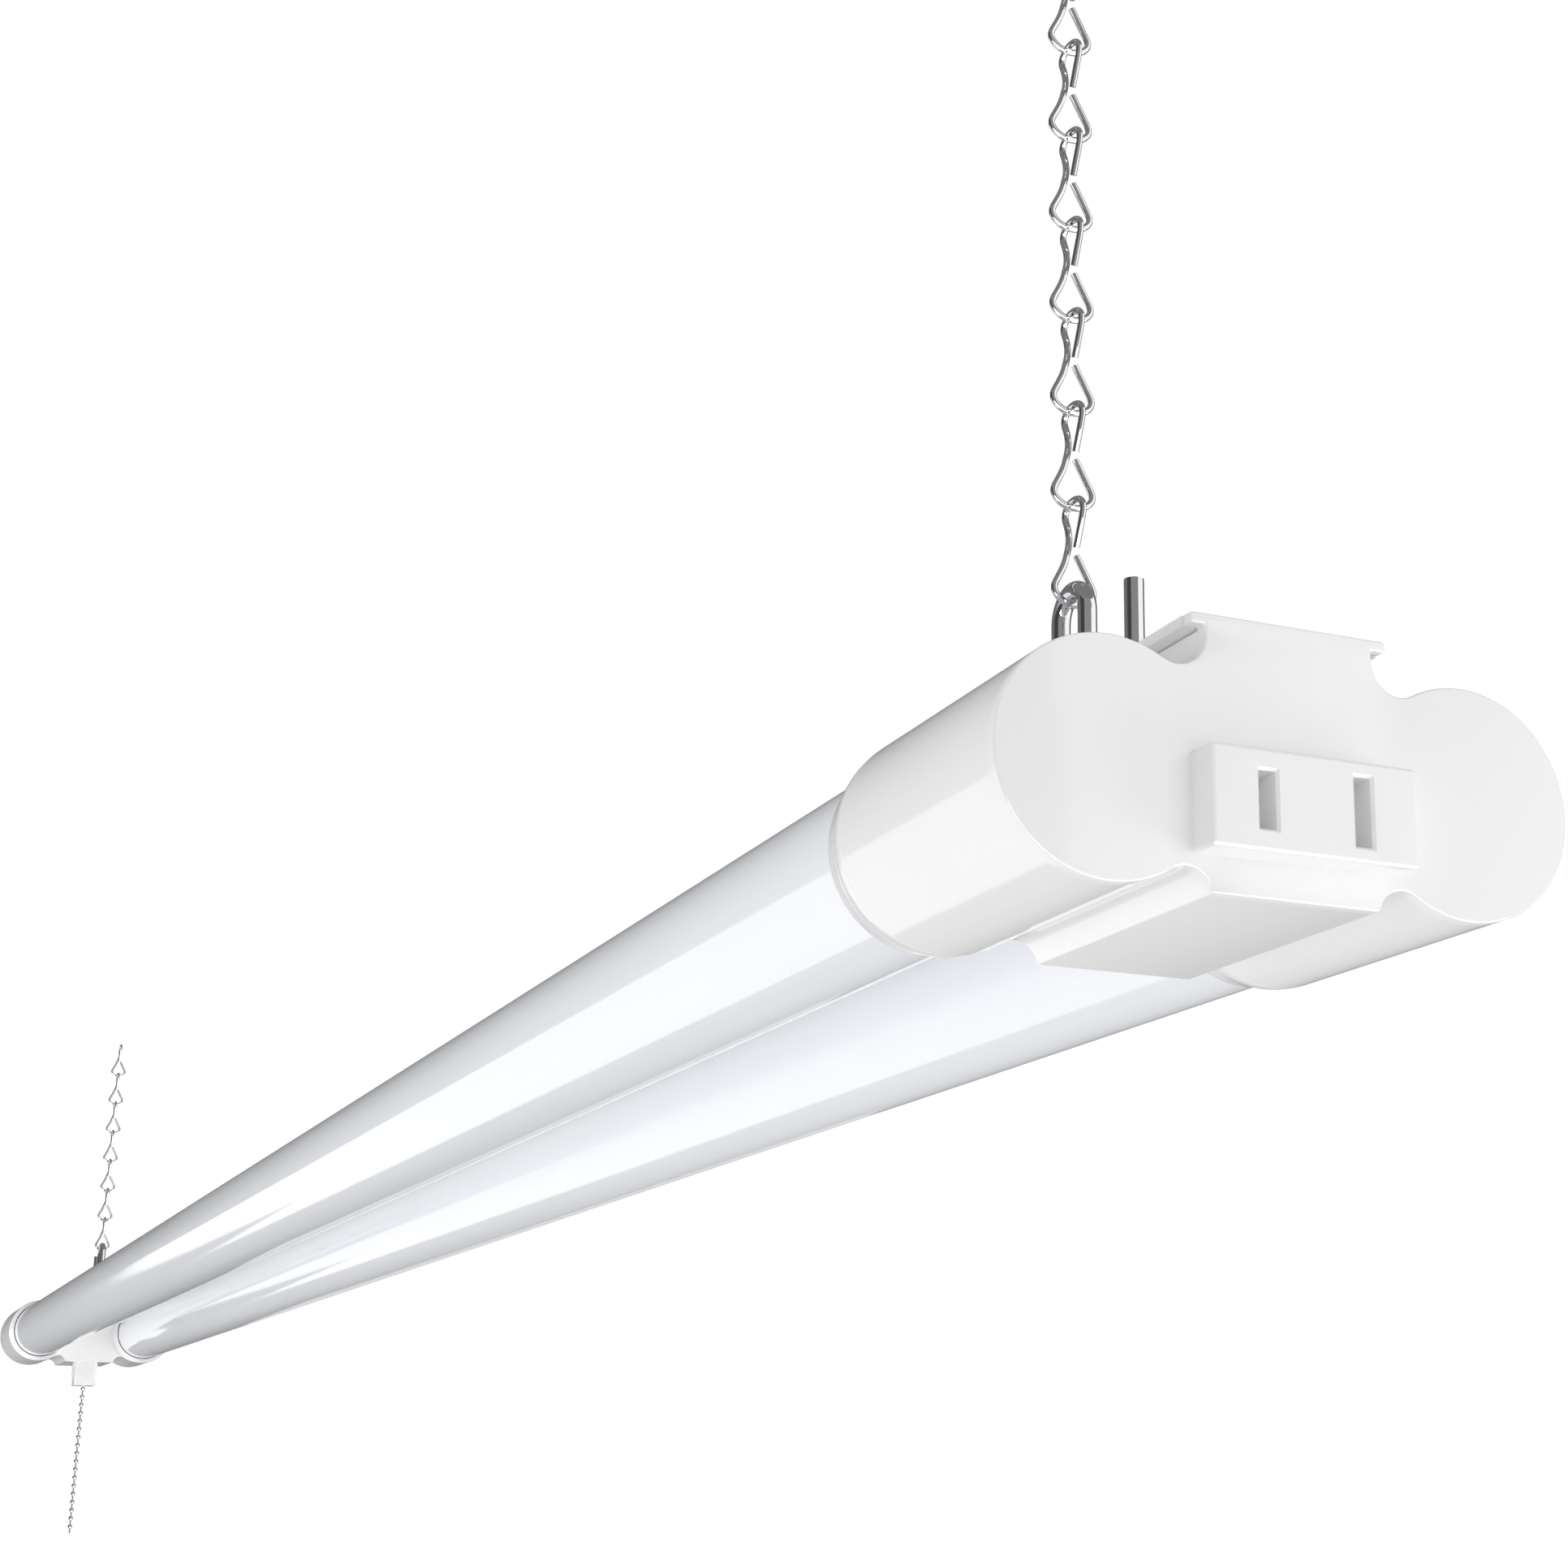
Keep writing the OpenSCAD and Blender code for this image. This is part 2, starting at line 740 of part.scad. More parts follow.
module coil(low, high) {
  steps = 16*spring_turns;
  rings = [for (i = [0:steps]) each coil_ring(i/16, low, high)];
  polyhedron(rings, concat(
    [[5, 4, 3, 2, 1, 0]],
    [for (i = [0:steps - 1], k = [0:5]) [6*i + k, 6*i + (k + 1)%6, 6*i + 6 + (k + 1)%6, 6*i + 6 + k]],
    [[for (k = [0:5]) 6*steps + k]]));
}

module return_spring() {
  color("silver")
  translate([0, switch_y, 0])
    coil(well_floor_z + spring_wire/2 + touch_gap, head_bottom_z - spring_wire/2 - touch_gap);
}

// One length of bead chain hanging from z = 0, with a short wire above its first bead
module bead_length(tail) {
  top = bead_d/2;
  for (i = [0:beads_each - 1])
    translate([0, 0, -top - i*bead_pitch]) sphere(d = bead_d, $fn = bead_fn);
  translate([0, 0, -top - (beads_each - 1)*bead_pitch - tail]) cylinder(h = (beads_each - 1)*bead_pitch + tail, d = chain_wire);
}

module pull_length(index, tail) {
  color("silver")
  translate([0, switch_y, chain_top_z - index*length_h]) bead_length(tail);
}

bead_tail = bead_pitch - bead_d/2 - pull_gap;
module pull_chain_upper() { pull_length(0, bead_tail); }
module pull_chain_middle() { pull_length(1, bead_tail); }
module pull_chain_lower() { pull_length(2, tail_len); }

/* ---- hooks, drawn in Y and Z with the middle leg at Y = 0 and +Y outwards ---- */

// A quarter or half turn of round wire in the YZ plane
module wire_arc(y, z, r, wire, from, sweep) {
  translate([0, y, z]) rotate([90, 0, 90]) rotate([0, 0, from])
    rotate_extrude(angle = sweep) translate([r, 0]) circle(r = wire);
}

module hook() {
  color("lightsteelblue")
  union() {
    bar([0, -eye_w, eye_end_z], [0, -eye_w, eye_z], hook_r);
    wire_arc(-eye_w/2, eye_z, eye_w/2, hook_r, 0, 180);
    bar([0, 0, bend_z + bend_r], [0, 0, eye_z], hook_r);
    wire_arc(bend_r, bend_z + bend_r, bend_r, hook_r, 180, 90);
    bar([0, bend_r, bend_z], [0, bend_w - bend_r, bend_z], hook_r);
    wire_arc(bend_w - bend_r, bend_z + bend_r, bend_r, hook_r, 270, 90);
    bar([0, bend_w, bend_z + bend_r], [0, bend_w, peg_top], hook_r);
  }
}

module far_hook() { translate([0, hook_y, 0]) hook(); }
module near_hook() { mirror([0, 1, 0]) far_hook(); }

/* ---- jack chain ---- */

// Angle from straight up at which the side of a loop leaves its round end
waist_rise = link_axis_len/2 - waist_gap/2 - loop_r;
side_angle = atan2(waist_x, waist_rise) + acos(loop_r/norm([waist_x, waist_rise]));

// One loop in X and Z, round end at z = 0 and waist above
module link_loop() {
  tip = [loop_r*sin(side_angle), 0, loop_r + loop_r*cos(side_angle)];
  translate([0, 0, loop_r]) rotate([90, 0, 0]) rotate([0, 0, 90 + side_angle])
    rotate_extrude(angle = 360 - 2*side_angle) translate([loop_r, 0]) circle(r = link_r, $fn = wire_fn);
  for (k = [-1, 1]) {
    bar([k*tip[0], 0, tip[2]], [k*waist_x, 0, loop_r + waist_rise], link_r, wire_fn);
    translate([k*tip[0], 0, tip[2]]) sphere(r = knee_r, $fn = wire_fn);
  }
}

// One link: two loops a quarter turn apart, joined by the wire that crosses the waist
module chain_link() {
  a = [-waist_x, 0, loop_r + waist_rise];
  b = [0, waist_x, link_axis_len - loop_r - waist_rise];
  union() {
    link_loop();
    translate([0, 0, link_axis_len]) mirror([0, 0, 1]) rotate([0, 0, 90]) link_loop();
    bar(a, b, link_r, wire_fn);
    for (p = [a, b])
      translate(p) sphere(r = knee_r, $fn = wire_fn);
  }
}

module link_at(side, index) {
  color("lightsteelblue")
  translate([0, side*link_y, first_link_z + (index - 1)*link_pitch]) chain_link();
}

base_rail();
near_end_cap();
far_end_cap();
left_diffuser();
right_diffuser();
left_led_strip();
right_led_strip();
left_led_board();
right_led_board();
left_leds();
right_leds();
led_leads();
driver_board();
driver_parts();
driver_liner();
feed_wires();
outlet_block();
outlet_contacts();
cap_screws();
cord_grommet();
switch_housing();
switch_contacts();
contact_rotor();
pull_slider();
return_spring();
pull_chain_upper();
pull_chain_middle();
pull_chain_lower();
near_hook();
far_hook();
for (i = [1:7]) {
  link_at(-1, i);
  link_at(1, i);
}
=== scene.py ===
"""Looks of the hanging double-tube shop light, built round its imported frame.

X runs across the tubes, Y along them and Z up, in metres. The near end with
the outlet is at -Y, and the far end with the pull switch at +Y. The pieces' own
sizes are in millimetres, and make_piece brings them into metres.
"""

import logging
import math
from dataclasses import dataclass, field
from enum import Enum
from typing import Any, Callable, Optional

import bmesh
import bpy
from mathutils import Matrix, Vector

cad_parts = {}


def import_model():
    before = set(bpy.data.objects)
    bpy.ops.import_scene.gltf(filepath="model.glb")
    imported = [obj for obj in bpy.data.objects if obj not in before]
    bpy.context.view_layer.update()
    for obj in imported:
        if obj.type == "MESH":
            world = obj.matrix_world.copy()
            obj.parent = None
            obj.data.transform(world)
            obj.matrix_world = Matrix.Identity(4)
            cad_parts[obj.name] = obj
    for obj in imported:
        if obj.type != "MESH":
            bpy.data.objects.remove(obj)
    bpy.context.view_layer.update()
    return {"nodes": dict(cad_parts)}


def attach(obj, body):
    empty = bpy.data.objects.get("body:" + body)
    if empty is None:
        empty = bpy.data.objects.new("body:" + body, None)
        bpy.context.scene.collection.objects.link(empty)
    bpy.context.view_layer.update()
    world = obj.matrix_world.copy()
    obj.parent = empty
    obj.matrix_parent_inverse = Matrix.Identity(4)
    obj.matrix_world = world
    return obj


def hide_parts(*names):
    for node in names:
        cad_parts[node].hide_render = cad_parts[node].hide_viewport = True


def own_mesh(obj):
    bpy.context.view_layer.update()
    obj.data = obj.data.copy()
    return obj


log = logging.getLogger("shop_light")

MM = 0.001
FIXTURE = "fixture"  # the body of everything that doesn't move
HALF_LEN = 600.0  # millimetres from the middle to a cap's face
AXIS_Z = -19.5  # height of the tubes' axes in millimetres
TUBE_X = 25.0  # millimetres from the middle to a tube's axis
TURN = 2 * math.pi
MERGE = 1e-4  # vertices closer than this, in a shape's own unit, are one


class Slot(Enum):
    """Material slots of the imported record."""

    WHITE_METAL = "white_metal"
    WHITE_PLASTIC = "white_plastic"
    FROSTED = "frosted_plastic"
    ALUMINIUM = "bare_aluminium"
    WHITE_BOARD = "white_board"
    LED_YELLOW = "led_yellow"
    GREEN_BOARD = "green_board"
    COMPONENTS = "component_mix"
    LINER = "grey_liner"
    BLACK_WIRE = "black_wire"
    RED_WIRE = "red_wire"
    BRASS = "brass"
    ZINC = "zinc_screw"
    RUBBER = "black_rubber"
    RESIN = "brown_resin"
    SPRING = "spring_steel"
    BRIGHT = "bright_steel"
    NATURAL = "natural_plastic"


# ---------------------------------------------------------------- materials


class NodeTree:
    """Thin helper that adds and links shader nodes in one tree."""

    def __init__(self, tree: bpy.types.NodeTree) -> None:
        """Keeps the tree.

        Args:
            tree: The tree that the nodes go into.
        """
        self.tree = tree

    def add(self, kind: str, links: Optional[dict] = None, **settings: Any) -> bpy.types.Node:
        """Adds a node.

        Args:
            kind: The node's type name, without the ShaderNode prefix.
            links: Input name or number to a value or an output socket.
            settings: Properties of the node.

        Returns:
            The new node.
        """
        node = self.tree.nodes.new("ShaderNode" + kind)
        for name, value in settings.items():
            setattr(node, name, value)
        for name, value in (links or {}).items():
            if isinstance(value, bpy.types.NodeSocket):
                self.tree.links.new(value, node.inputs[name])
            else:
                node.inputs[name].default_value = value
        return node

    def math(self, operation: str, *values: Any, clamp: bool = False) -> bpy.types.NodeSocket:
        """Adds a Math node and returns its output.

        Args:
            operation: Blender's name of the operation.
            values: Numbers or sockets, in order.
            clamp: Whether the result stays between 0 and 1.

        Returns:
            The result's socket.
        """
        node = self.add("Math", dict(enumerate(values)), operation=operation)
        node.use_clamp = clamp
        return node.outputs[0]

    def backdrop_rays(self) -> bpy.types.NodeSocket:
        """Tells the rays to which the background is plain white from the others.

        Returns:
            A socket that is 1 for camera, glossy and transmission rays.
        """
        path = self.add("LightPath")
        seen = self.math("MAXIMUM", path.outputs["Is Camera Ray"], path.outputs["Is Glossy Ray"])
        return self.math("MAXIMUM", seen, path.outputs["Is Transmission Ray"])


def new_material(name: str) -> tuple[bpy.types.Material, NodeTree]:
    """Starts an empty material.

    Args:
        name: The material's name.

    Returns:
        The material and the helper of its node tree.
    """
    made = bpy.data.materials.new(name)
    made.use_nodes = True
    made.node_tree.nodes.clear()
    return made, NodeTree(made.node_tree)


def new_object(name: str, data: bpy.types.ID) -> bpy.types.Object:
    """Puts an object into the scene.

    Args:
        name: The object's name.
        data: Its mesh, curve, lamp or camera.

    Returns:
        The object.
    """
    made = bpy.data.objects.new(name, data)
    bpy.context.scene.collection.objects.link(made)
    return made


def new_mesh(name: str, bm: bmesh.types.BMesh) -> bpy.types.Mesh:
    """Turns a finished bmesh into a mesh.

    Args:
        name: The mesh's name.
        bm: The shape, which is freed.

    Returns:
        The mesh.
    """
    mesh = bpy.data.meshes.new(name)
    bm.to_mesh(mesh)
    bm.free()
    return mesh


def shade(mesh: bpy.types.Mesh, sharp: float) -> None:
    """Shades a mesh smooth but for its sharp edges.

    Args:
        mesh: The mesh.
        sharp: Angle in degrees above which an edge stays sharp.
    """
    mesh.polygons.foreach_set("use_smooth", [True] * len(mesh.polygons))
    mesh.set_sharp_from_angle(angle=math.radians(sharp))


def new_group(
    name: str, inputs: dict[str, Any], outputs: dict[str, str]
) -> tuple[NodeTree, bpy.types.Node, bpy.types.Node]:
    """Starts a shader node group with named sockets.

    Args:
        name: The group's name.
        inputs: Socket name to default value, which is None for a vector.
        outputs: Socket name to socket type.

    Returns:
        The tree helper, the group's input node and its output node.
    """
    tree = bpy.data.node_groups.new(name, "ShaderNodeTree")
    for label, value in inputs.items():
        kind = "NodeSocketVector" if value is None else "NodeSocketFloat"
        socket = tree.interface.new_socket(label, in_out="INPUT", socket_type=kind)
        if value is not None:
            socket.default_value = value
    for label, kind in outputs.items():
        tree.interface.new_socket(label, in_out="OUTPUT", socket_type=kind)
    helper = NodeTree(tree)
    return helper, tree.nodes.new("NodeGroupInput"), tree.nodes.new("NodeGroupOutput")


class Effects:
    """The shader node groups that several finishes share, each built once."""

    COARSE = 0.13  # scale of the wide grain as a share of the fine grain's
    GRAIN_FLOOR = 0.2  # grain below this leaves the gloss alone
    CLOUD_RANGE = (0.3, 0.7)  # noise from the first tone to the second
    FACING_UP = (0.35, 0.95)  # the normal's Z from no dust to all of it
    PATCHES = (0.35, 0.75)  # noise from bare to dusty
    SPECKS = 240.0  # scale of the dust

    def __init__(self) -> None:
        """Builds the groups."""
        self.grain = self._grain()
        self.cloud = self._cloud()
        self.dust = self._dust()

    def _grain(self) -> bpy.types.NodeTree:
        """Fine grain in two sizes, for bump and roughness.

        Returns:
            The group, with outputs Height and Mask.
        """
        t, gin, gout = new_group(
            "surface_grain",
            {"Vector": None, "Scale": 900.0, "Stretch": 1.0, "Coarse": 0.35},
            {"Height": "NodeSocketFloat", "Mask": "NodeSocketFloat"},
        )
        stretch = t.add("CombineXYZ", {"X": 1.0, "Z": 1.0})
        t.tree.links.new(gin.outputs["Stretch"], stretch.inputs["Y"])
        scaled = t.add(
            "VectorMath", {0: gin.outputs["Vector"], 1: stretch.outputs[0]}, operation="MULTIPLY"
        ).outputs[0]
        scale = gin.outputs["Scale"]
        coarse = t.math("MULTIPLY", scale, self.COARSE)
        fine = t.add(
            "TexNoise", {"Vector": scaled, "Scale": scale, "Detail": 2.0, "Roughness": 0.6}
        )
        wide = t.add("TexNoise", {"Vector": scaled, "Scale": coarse, "Detail": 3.0})
        share = t.math("MULTIPLY", wide.outputs[0], gin.outputs["Coarse"])
        both = t.math("ADD", fine.outputs[0], share)
        t.tree.links.new(both, gout.inputs["Height"])
        mask = t.math("SUBTRACT", both, self.GRAIN_FLOOR, clamp=True)
        t.tree.links.new(mask, gout.inputs["Mask"])
        return t.tree

    def _cloud(self) -> bpy.types.NodeTree:
        """Slow, wide unevenness of colour, such as a moulding's flow.

        Returns:
            The group, with output Tone.
        """
        t, gin, gout = new_group(
            "tone_cloud", {"Vector": None, "Scale": 18.0}, {"Tone": "NodeSocketFloat"}
        )
        place, scale = gin.outputs["Vector"], gin.outputs["Scale"]
        noise = t.add(
            "TexNoise", {"Vector": place, "Scale": scale, "Detail": 4.0, "Distortion": 0.6}
        )
        t.tree.links.new(self._ramp(t, noise.outputs[0], self.CLOUD_RANGE), gout.inputs["Tone"])
        return t.tree

    def _dust(self) -> bpy.types.NodeTree:
        """A thin film of dust on what faces up.

        Returns:
            The group, with output Mask.
        """
        t, gin, gout = new_group(
            "settled_dust", {"Vector": None, "Amount": 0.1}, {"Mask": "NodeSocketFloat"}
        )
        normal = t.add("NewGeometry").outputs["Normal"]
        up = t.add("SeparateXYZ", {0: normal}).outputs["Z"]
        facing = self._ramp(t, up, self.FACING_UP)
        place = gin.outputs["Vector"]
        speck = t.add(
            "TexNoise", {"Vector": place, "Scale": self.SPECKS, "Detail": 5.0, "Roughness": 0.7}
        )
        patch = self._ramp(t, speck.outputs[0], self.PATCHES)
        lying = t.math("MULTIPLY", facing, patch)
        t.tree.links.new(t.math("MULTIPLY", lying, gin.outputs["Amount"]), gout.inputs["Mask"])
        return t.tree

    @staticmethod
    def _ramp(
        t: NodeTree, value: bpy.types.NodeSocket, span: tuple[float, float]
    ) -> bpy.types.NodeSocket:
        """Spreads a value out from 0 to 1.

        Args:
            t: The tree.
            value: What is spread.
            span: The values that become 0 and 1.

        Returns:
            The result's socket.
        """
        ramp = t.add("MapRange", {"Value": value, "From Min": span[0], "From Max": span[1]})
        return ramp.outputs[0]


DUST_COLOUR = (0.62, 0.6, 0.57, 1)


@dataclass(frozen=True)
class Finish:
    """One finish: its two colours, the range of its roughness, its grain and its dust.

    The depth of the grain is in metres. Grain and cloud are the scales of their noises,
    and stretch thins the grain out along the tubes.
    """

    name: str
    colour: tuple[float, float, float]
    second: tuple[float, float, float]
    roughness: tuple[float, float] = (0.3, 0.4)
    metallic: float = 0.0
    specular: float = 0.5
    coat: float = 0.0
    coat_roughness: float = 0.1
    grain: float = 900.0
    stretch: float = 1.0
    bump: float = 0.05
    depth: float = 0.02 * MM
    cloud: float = 18.0
    dust: float = 0.0

    def material(self, effects: Effects) -> bpy.types.Material:
        """Builds the finish as a Principled material with procedural detail.

        Args:
            effects: The shared node groups.

        Returns:
            The material.
        """
        made, t = new_material(self.name)
        place = t.add("TexCoord").outputs["Object"]
        grain = t.add("Group", node_tree=effects.grain)
        for label, value in (("Scale", self.grain), ("Stretch", self.stretch)):
            grain.inputs[label].default_value = value
        cloud = t.add("Group", node_tree=effects.cloud)
        cloud.inputs["Scale"].default_value = self.cloud
        dust = t.add("Group", node_tree=effects.dust)
        dust.inputs["Amount"].default_value = self.dust
        for group in (grain, cloud, dust):
            t.tree.links.new(place, group.inputs["Vector"])
        tone = t.add("Mix", data_type="RGBA")
        t.tree.links.new(cloud.outputs["Tone"], tone.inputs["Factor"])
        tone.inputs["A"].default_value = (*self.colour, 1)
        tone.inputs["B"].default_value = (*self.second, 1)
        dusty = t.add("Mix", data_type="RGBA")
        t.tree.links.new(dust.outputs["Mask"], dusty.inputs["Factor"])
        t.tree.links.new(tone.outputs["Result"], dusty.inputs["A"])
        dusty.inputs["B"].default_value = DUST_COLOUR
        low, high = self.roughness
        rough = t.add("MapRange", {"Value": grain.outputs["Mask"], "To Min": low, "To Max": high})
        height = grain.outputs["Height"]
        bump = t.add("Bump", {"Strength": self.bump, "Distance": self.depth, "Height": height})
        shader = t.add(
            "BsdfPrincipled",
            {
                "Base Color": dusty.outputs["Result"],
                "Roughness": rough.outputs[0],
                "Normal": bump.outputs[0],
                "Metallic": self.metallic,
                "Specular IOR Level": self.specular,
                "Coat Weight": self.coat,
                "Coat Roughness": self.coat_roughness,
            },
        )
        out = t.add("OutputMaterial")
        t.tree.links.new(shader.outputs[0], out.inputs["Surface"])
        return made


FINISHES: dict[Slot, Finish] = {
    Slot.WHITE_METAL: Finish(
        "white_paint", (0.84, 0.84, 0.84), (0.87, 0.87, 0.87), (0.28, 0.4),
        coat=0.3, grain=700, bump=0.12, dust=0.1,
    ),
    Slot.WHITE_PLASTIC: Finish(
        "moulded_white", (0.89, 0.89, 0.888), (0.905, 0.905, 0.903), (0.07, 0.11),
        grain=1400, bump=0.02, dust=0.03,
    ),
    Slot.FROSTED: Finish(
        "frosted_tube", (0.9, 0.915, 0.95), (0.91, 0.925, 0.96), (0.05, 0.08),
        grain=1600, bump=0.02, cloud=30,
    ),
    Slot.ALUMINIUM: Finish(
        "mill_aluminium", (0.75, 0.76, 0.78), (0.68, 0.69, 0.71), (0.3, 0.5),
        metallic=1, stretch=0.02, bump=0.2,
    ),
    Slot.WHITE_BOARD: Finish("white_mask", (0.85, 0.85, 0.8), (0.8, 0.8, 0.76), (0.35, 0.5)),
    Slot.LED_YELLOW: Finish("phosphor", (0.85, 0.72, 0.25), (0.9, 0.78, 0.35), (0.4, 0.6)),
    Slot.GREEN_BOARD: Finish("green_mask", (0.02, 0.18, 0.06), (0.03, 0.24, 0.09), (0.25, 0.4)),
    Slot.COMPONENTS: Finish(
        "component_case", (0.2, 0.17, 0.13), (0.3, 0.26, 0.2), (0.3, 0.55), cloud=90
    ),
    Slot.LINER: Finish("fibre_liner", (0.25, 0.25, 0.26), (0.3, 0.3, 0.3), (0.5, 0.7), bump=0.3),
    Slot.BLACK_WIRE: Finish("black_sleeve", (0.02, 0.02, 0.02), (0.03, 0.03, 0.03), (0.3, 0.45)),
    Slot.RED_WIRE: Finish("red_sleeve", (0.5, 0.03, 0.02), (0.55, 0.05, 0.03), (0.3, 0.45)),
    Slot.BRASS: Finish(
        "rolled_brass", (0.78, 0.58, 0.25), (0.7, 0.5, 0.2), (0.2, 0.38), metallic=1, stretch=0.1
    ),
    Slot.ZINC: Finish(
        "zinc_plate", (0.6, 0.61, 0.63), (0.5, 0.51, 0.54), (0.25, 0.45), metallic=1, grain=500
    ),
    Slot.RUBBER: Finish(
        "dark_rubber", (0.03, 0.03, 0.03), (0.045, 0.045, 0.045), (0.55, 0.75), bump=0.3
    ),
    Slot.RESIN: Finish("brown_resin", (0.2, 0.09, 0.04), (0.26, 0.13, 0.06), (0.3, 0.5)),
    Slot.SPRING: Finish(
        "spring_wire", (0.5, 0.5, 0.52), (0.42, 0.42, 0.44), (0.1, 0.2), metallic=1
    ),
    Slot.BRIGHT: Finish(
        "bright_plate", (0.72, 0.72, 0.74), (0.66, 0.66, 0.68), (0.03, 0.07),
        metallic=1, grain=600, bump=0.015, cloud=60,
    ),
    Slot.NATURAL: Finish("natural_nylon", (0.7, 0.69, 0.65), (0.76, 0.75, 0.71), (0.35, 0.5)),
}

# CAD nodes in each slot
WEARERS: dict[Slot, tuple[str, ...]] = {
    Slot.WHITE_METAL: ("base_rail",),
    Slot.WHITE_PLASTIC: ("near_end_cap", "far_end_cap", "outlet_block", "switch_housing"),
    Slot.FROSTED: ("left_diffuser", "right_diffuser"),
    Slot.ALUMINIUM: ("left_led_strip", "right_led_strip"),
    Slot.WHITE_BOARD: ("left_led_board", "right_led_board"),
    Slot.LED_YELLOW: ("left_leds", "right_leds"),
    Slot.GREEN_BOARD: ("driver_board",),
    Slot.COMPONENTS: ("driver_parts",),
    Slot.LINER: ("driver_liner",),
    Slot.BLACK_WIRE: ("feed_wires",),
    Slot.RED_WIRE: ("led_leads",),
    Slot.BRASS: ("outlet_contacts", "switch_contacts"),
    Slot.ZINC: ("cap_screws",),
    Slot.RUBBER: ("cord_grommet",),
    Slot.RESIN: ("contact_rotor",),
    Slot.SPRING: ("return_spring", "pull_chain_upper", "pull_chain_middle", "pull_chain_lower"),
    Slot.NATURAL: ("pull_slider",),
    Slot.BRIGHT: (
        "near_hook", "far_hook",
        *(f"{end}_link_{i}" for end in ("near", "far") for i in range(1, 8)),
    ),
}


@dataclass
class Palette:
    """The materials, each built once, and what dresses pieces and nodes in them."""

    effects: Effects = field(default_factory=Effects)
    made: dict[Slot, bpy.types.Material] = field(default_factory=dict)

    def of(self, slot: Slot) -> bpy.types.Material:
        """Builds the slot's material where it isn't there yet.

        Args:
            slot: The slot.

        Returns:
            The material.
        """
        if slot not in self.made:
            self.made[slot] = FINISHES[slot].material(self.effects)
        return self.made[slot]

    def dress(self, piece: bpy.types.Object, slot: Slot) -> bpy.types.Object:
        """Gives a new piece its slot's material and names the slot.

        Args:
            piece: The piece.
            slot: The slot that it takes its finish from.

        Returns:
            The piece.
        """
        piece.data.materials.clear()
        piece.data.materials.append(self.of(slot))
        return piece

    def dress_nodes(self, nodes: dict[str, bpy.types.Object]) -> None:
        """Gives every CAD node its material.

        Args:
            nodes: Node name to object.
        """
        for slot, names in WEARERS.items():
            for name in names:
                node = nodes[name]
                if not node.material_slots:
                    node.data.materials.append(None)
                for place in node.material_slots:
                    place.material = self.of(slot)
                log.info("node %s wears %s", name, slot.value)


# ------------------------------------------------------------------- studio


@dataclass(frozen=True)
class Card:
    """A grey or bright card round the fixture, which only gloss sees, as a studio's flags are.

    Its span is given as azimuth from +Y towards +X, and elevation, in degrees. Level is its
    brightness, lean moves its lower edge in azimuth, and radius is its distance in metres.
    """

    name: str
    azimuth: tuple[float, float]
    elevation: tuple[float, float]
    level: float
    lean: tuple[float, float] = (0, 0)
    radius: float = 6.0
    cells: int = 16

    def build(self) -> bpy.types.Object:
        """Bends a grid into a patch of a sphere round the fixture.

        Returns:
            The card.
        """
        bm = bmesh.new()
        bmesh.ops.create_grid(bm, x_segments=self.cells, y_segments=self.cells, size=1)
        for vert in bm.verts:
            across, up = (vert.co.x + 1) / 2, (vert.co.y + 1) / 2
            sides = [edge + (1 - up) * lean for edge, lean in zip(self.azimuth, self.lean)]
            turn = math.radians(sides[0] + across * (sides[1] - sides[0]))
            rise = math.radians(self.elevation[0] + up * (self.elevation[1] - self.elevation[0]))
            vert.co = self.radius * Vector((
                math.sin(turn) * math.cos(rise), math.cos(turn) * math.cos(rise), math.sin(rise),
            ))
        card = new_object(self.name, new_mesh(self.name, bm))
        made, t = new_material(self.name)
        glow = t.add("Emission", {"Color": (*(self.level,) * 3, 1), "Strength": 1.0})
        t.tree.links.new(glow.outputs[0], t.add("OutputMaterial").inputs["Surface"])
        card.data.materials.append(made)
        for ray in ("camera", "diffuse", "transmission", "volume_scatter", "shadow"):
            setattr(card, "visible_" + ray, False)
        return card


@dataclass(frozen=True)
class Lamp:
    """One soft lamp: where it stands, the point it faces, its size in metres and its watts."""

    name: str
    at: tuple[float, float, float]
    aim: tuple[float, float, float]
    size: tuple[float, float]
    power: float

    def build(self) -> bpy.types.Object:
        """Adds the lamp, which the camera doesn't see.

        Returns:
            The lamp object.
        """
        data = bpy.data.lights.new(self.name, "AREA")
        data.shape, data.size, data.size_y = "RECTANGLE", self.size[0], self.size[1]
        data.energy = self.power
        lamp = new_object(self.name, data)
        lamp.location = self.at
        lamp.rotation_mode = "QUATERNION"
        lamp.rotation_quaternion = (Vector(self.at) - Vector(self.aim)).to_track_quat("Z", "Y")
        lamp.visible_camera = lamp.visible_glossy = False
        return lamp


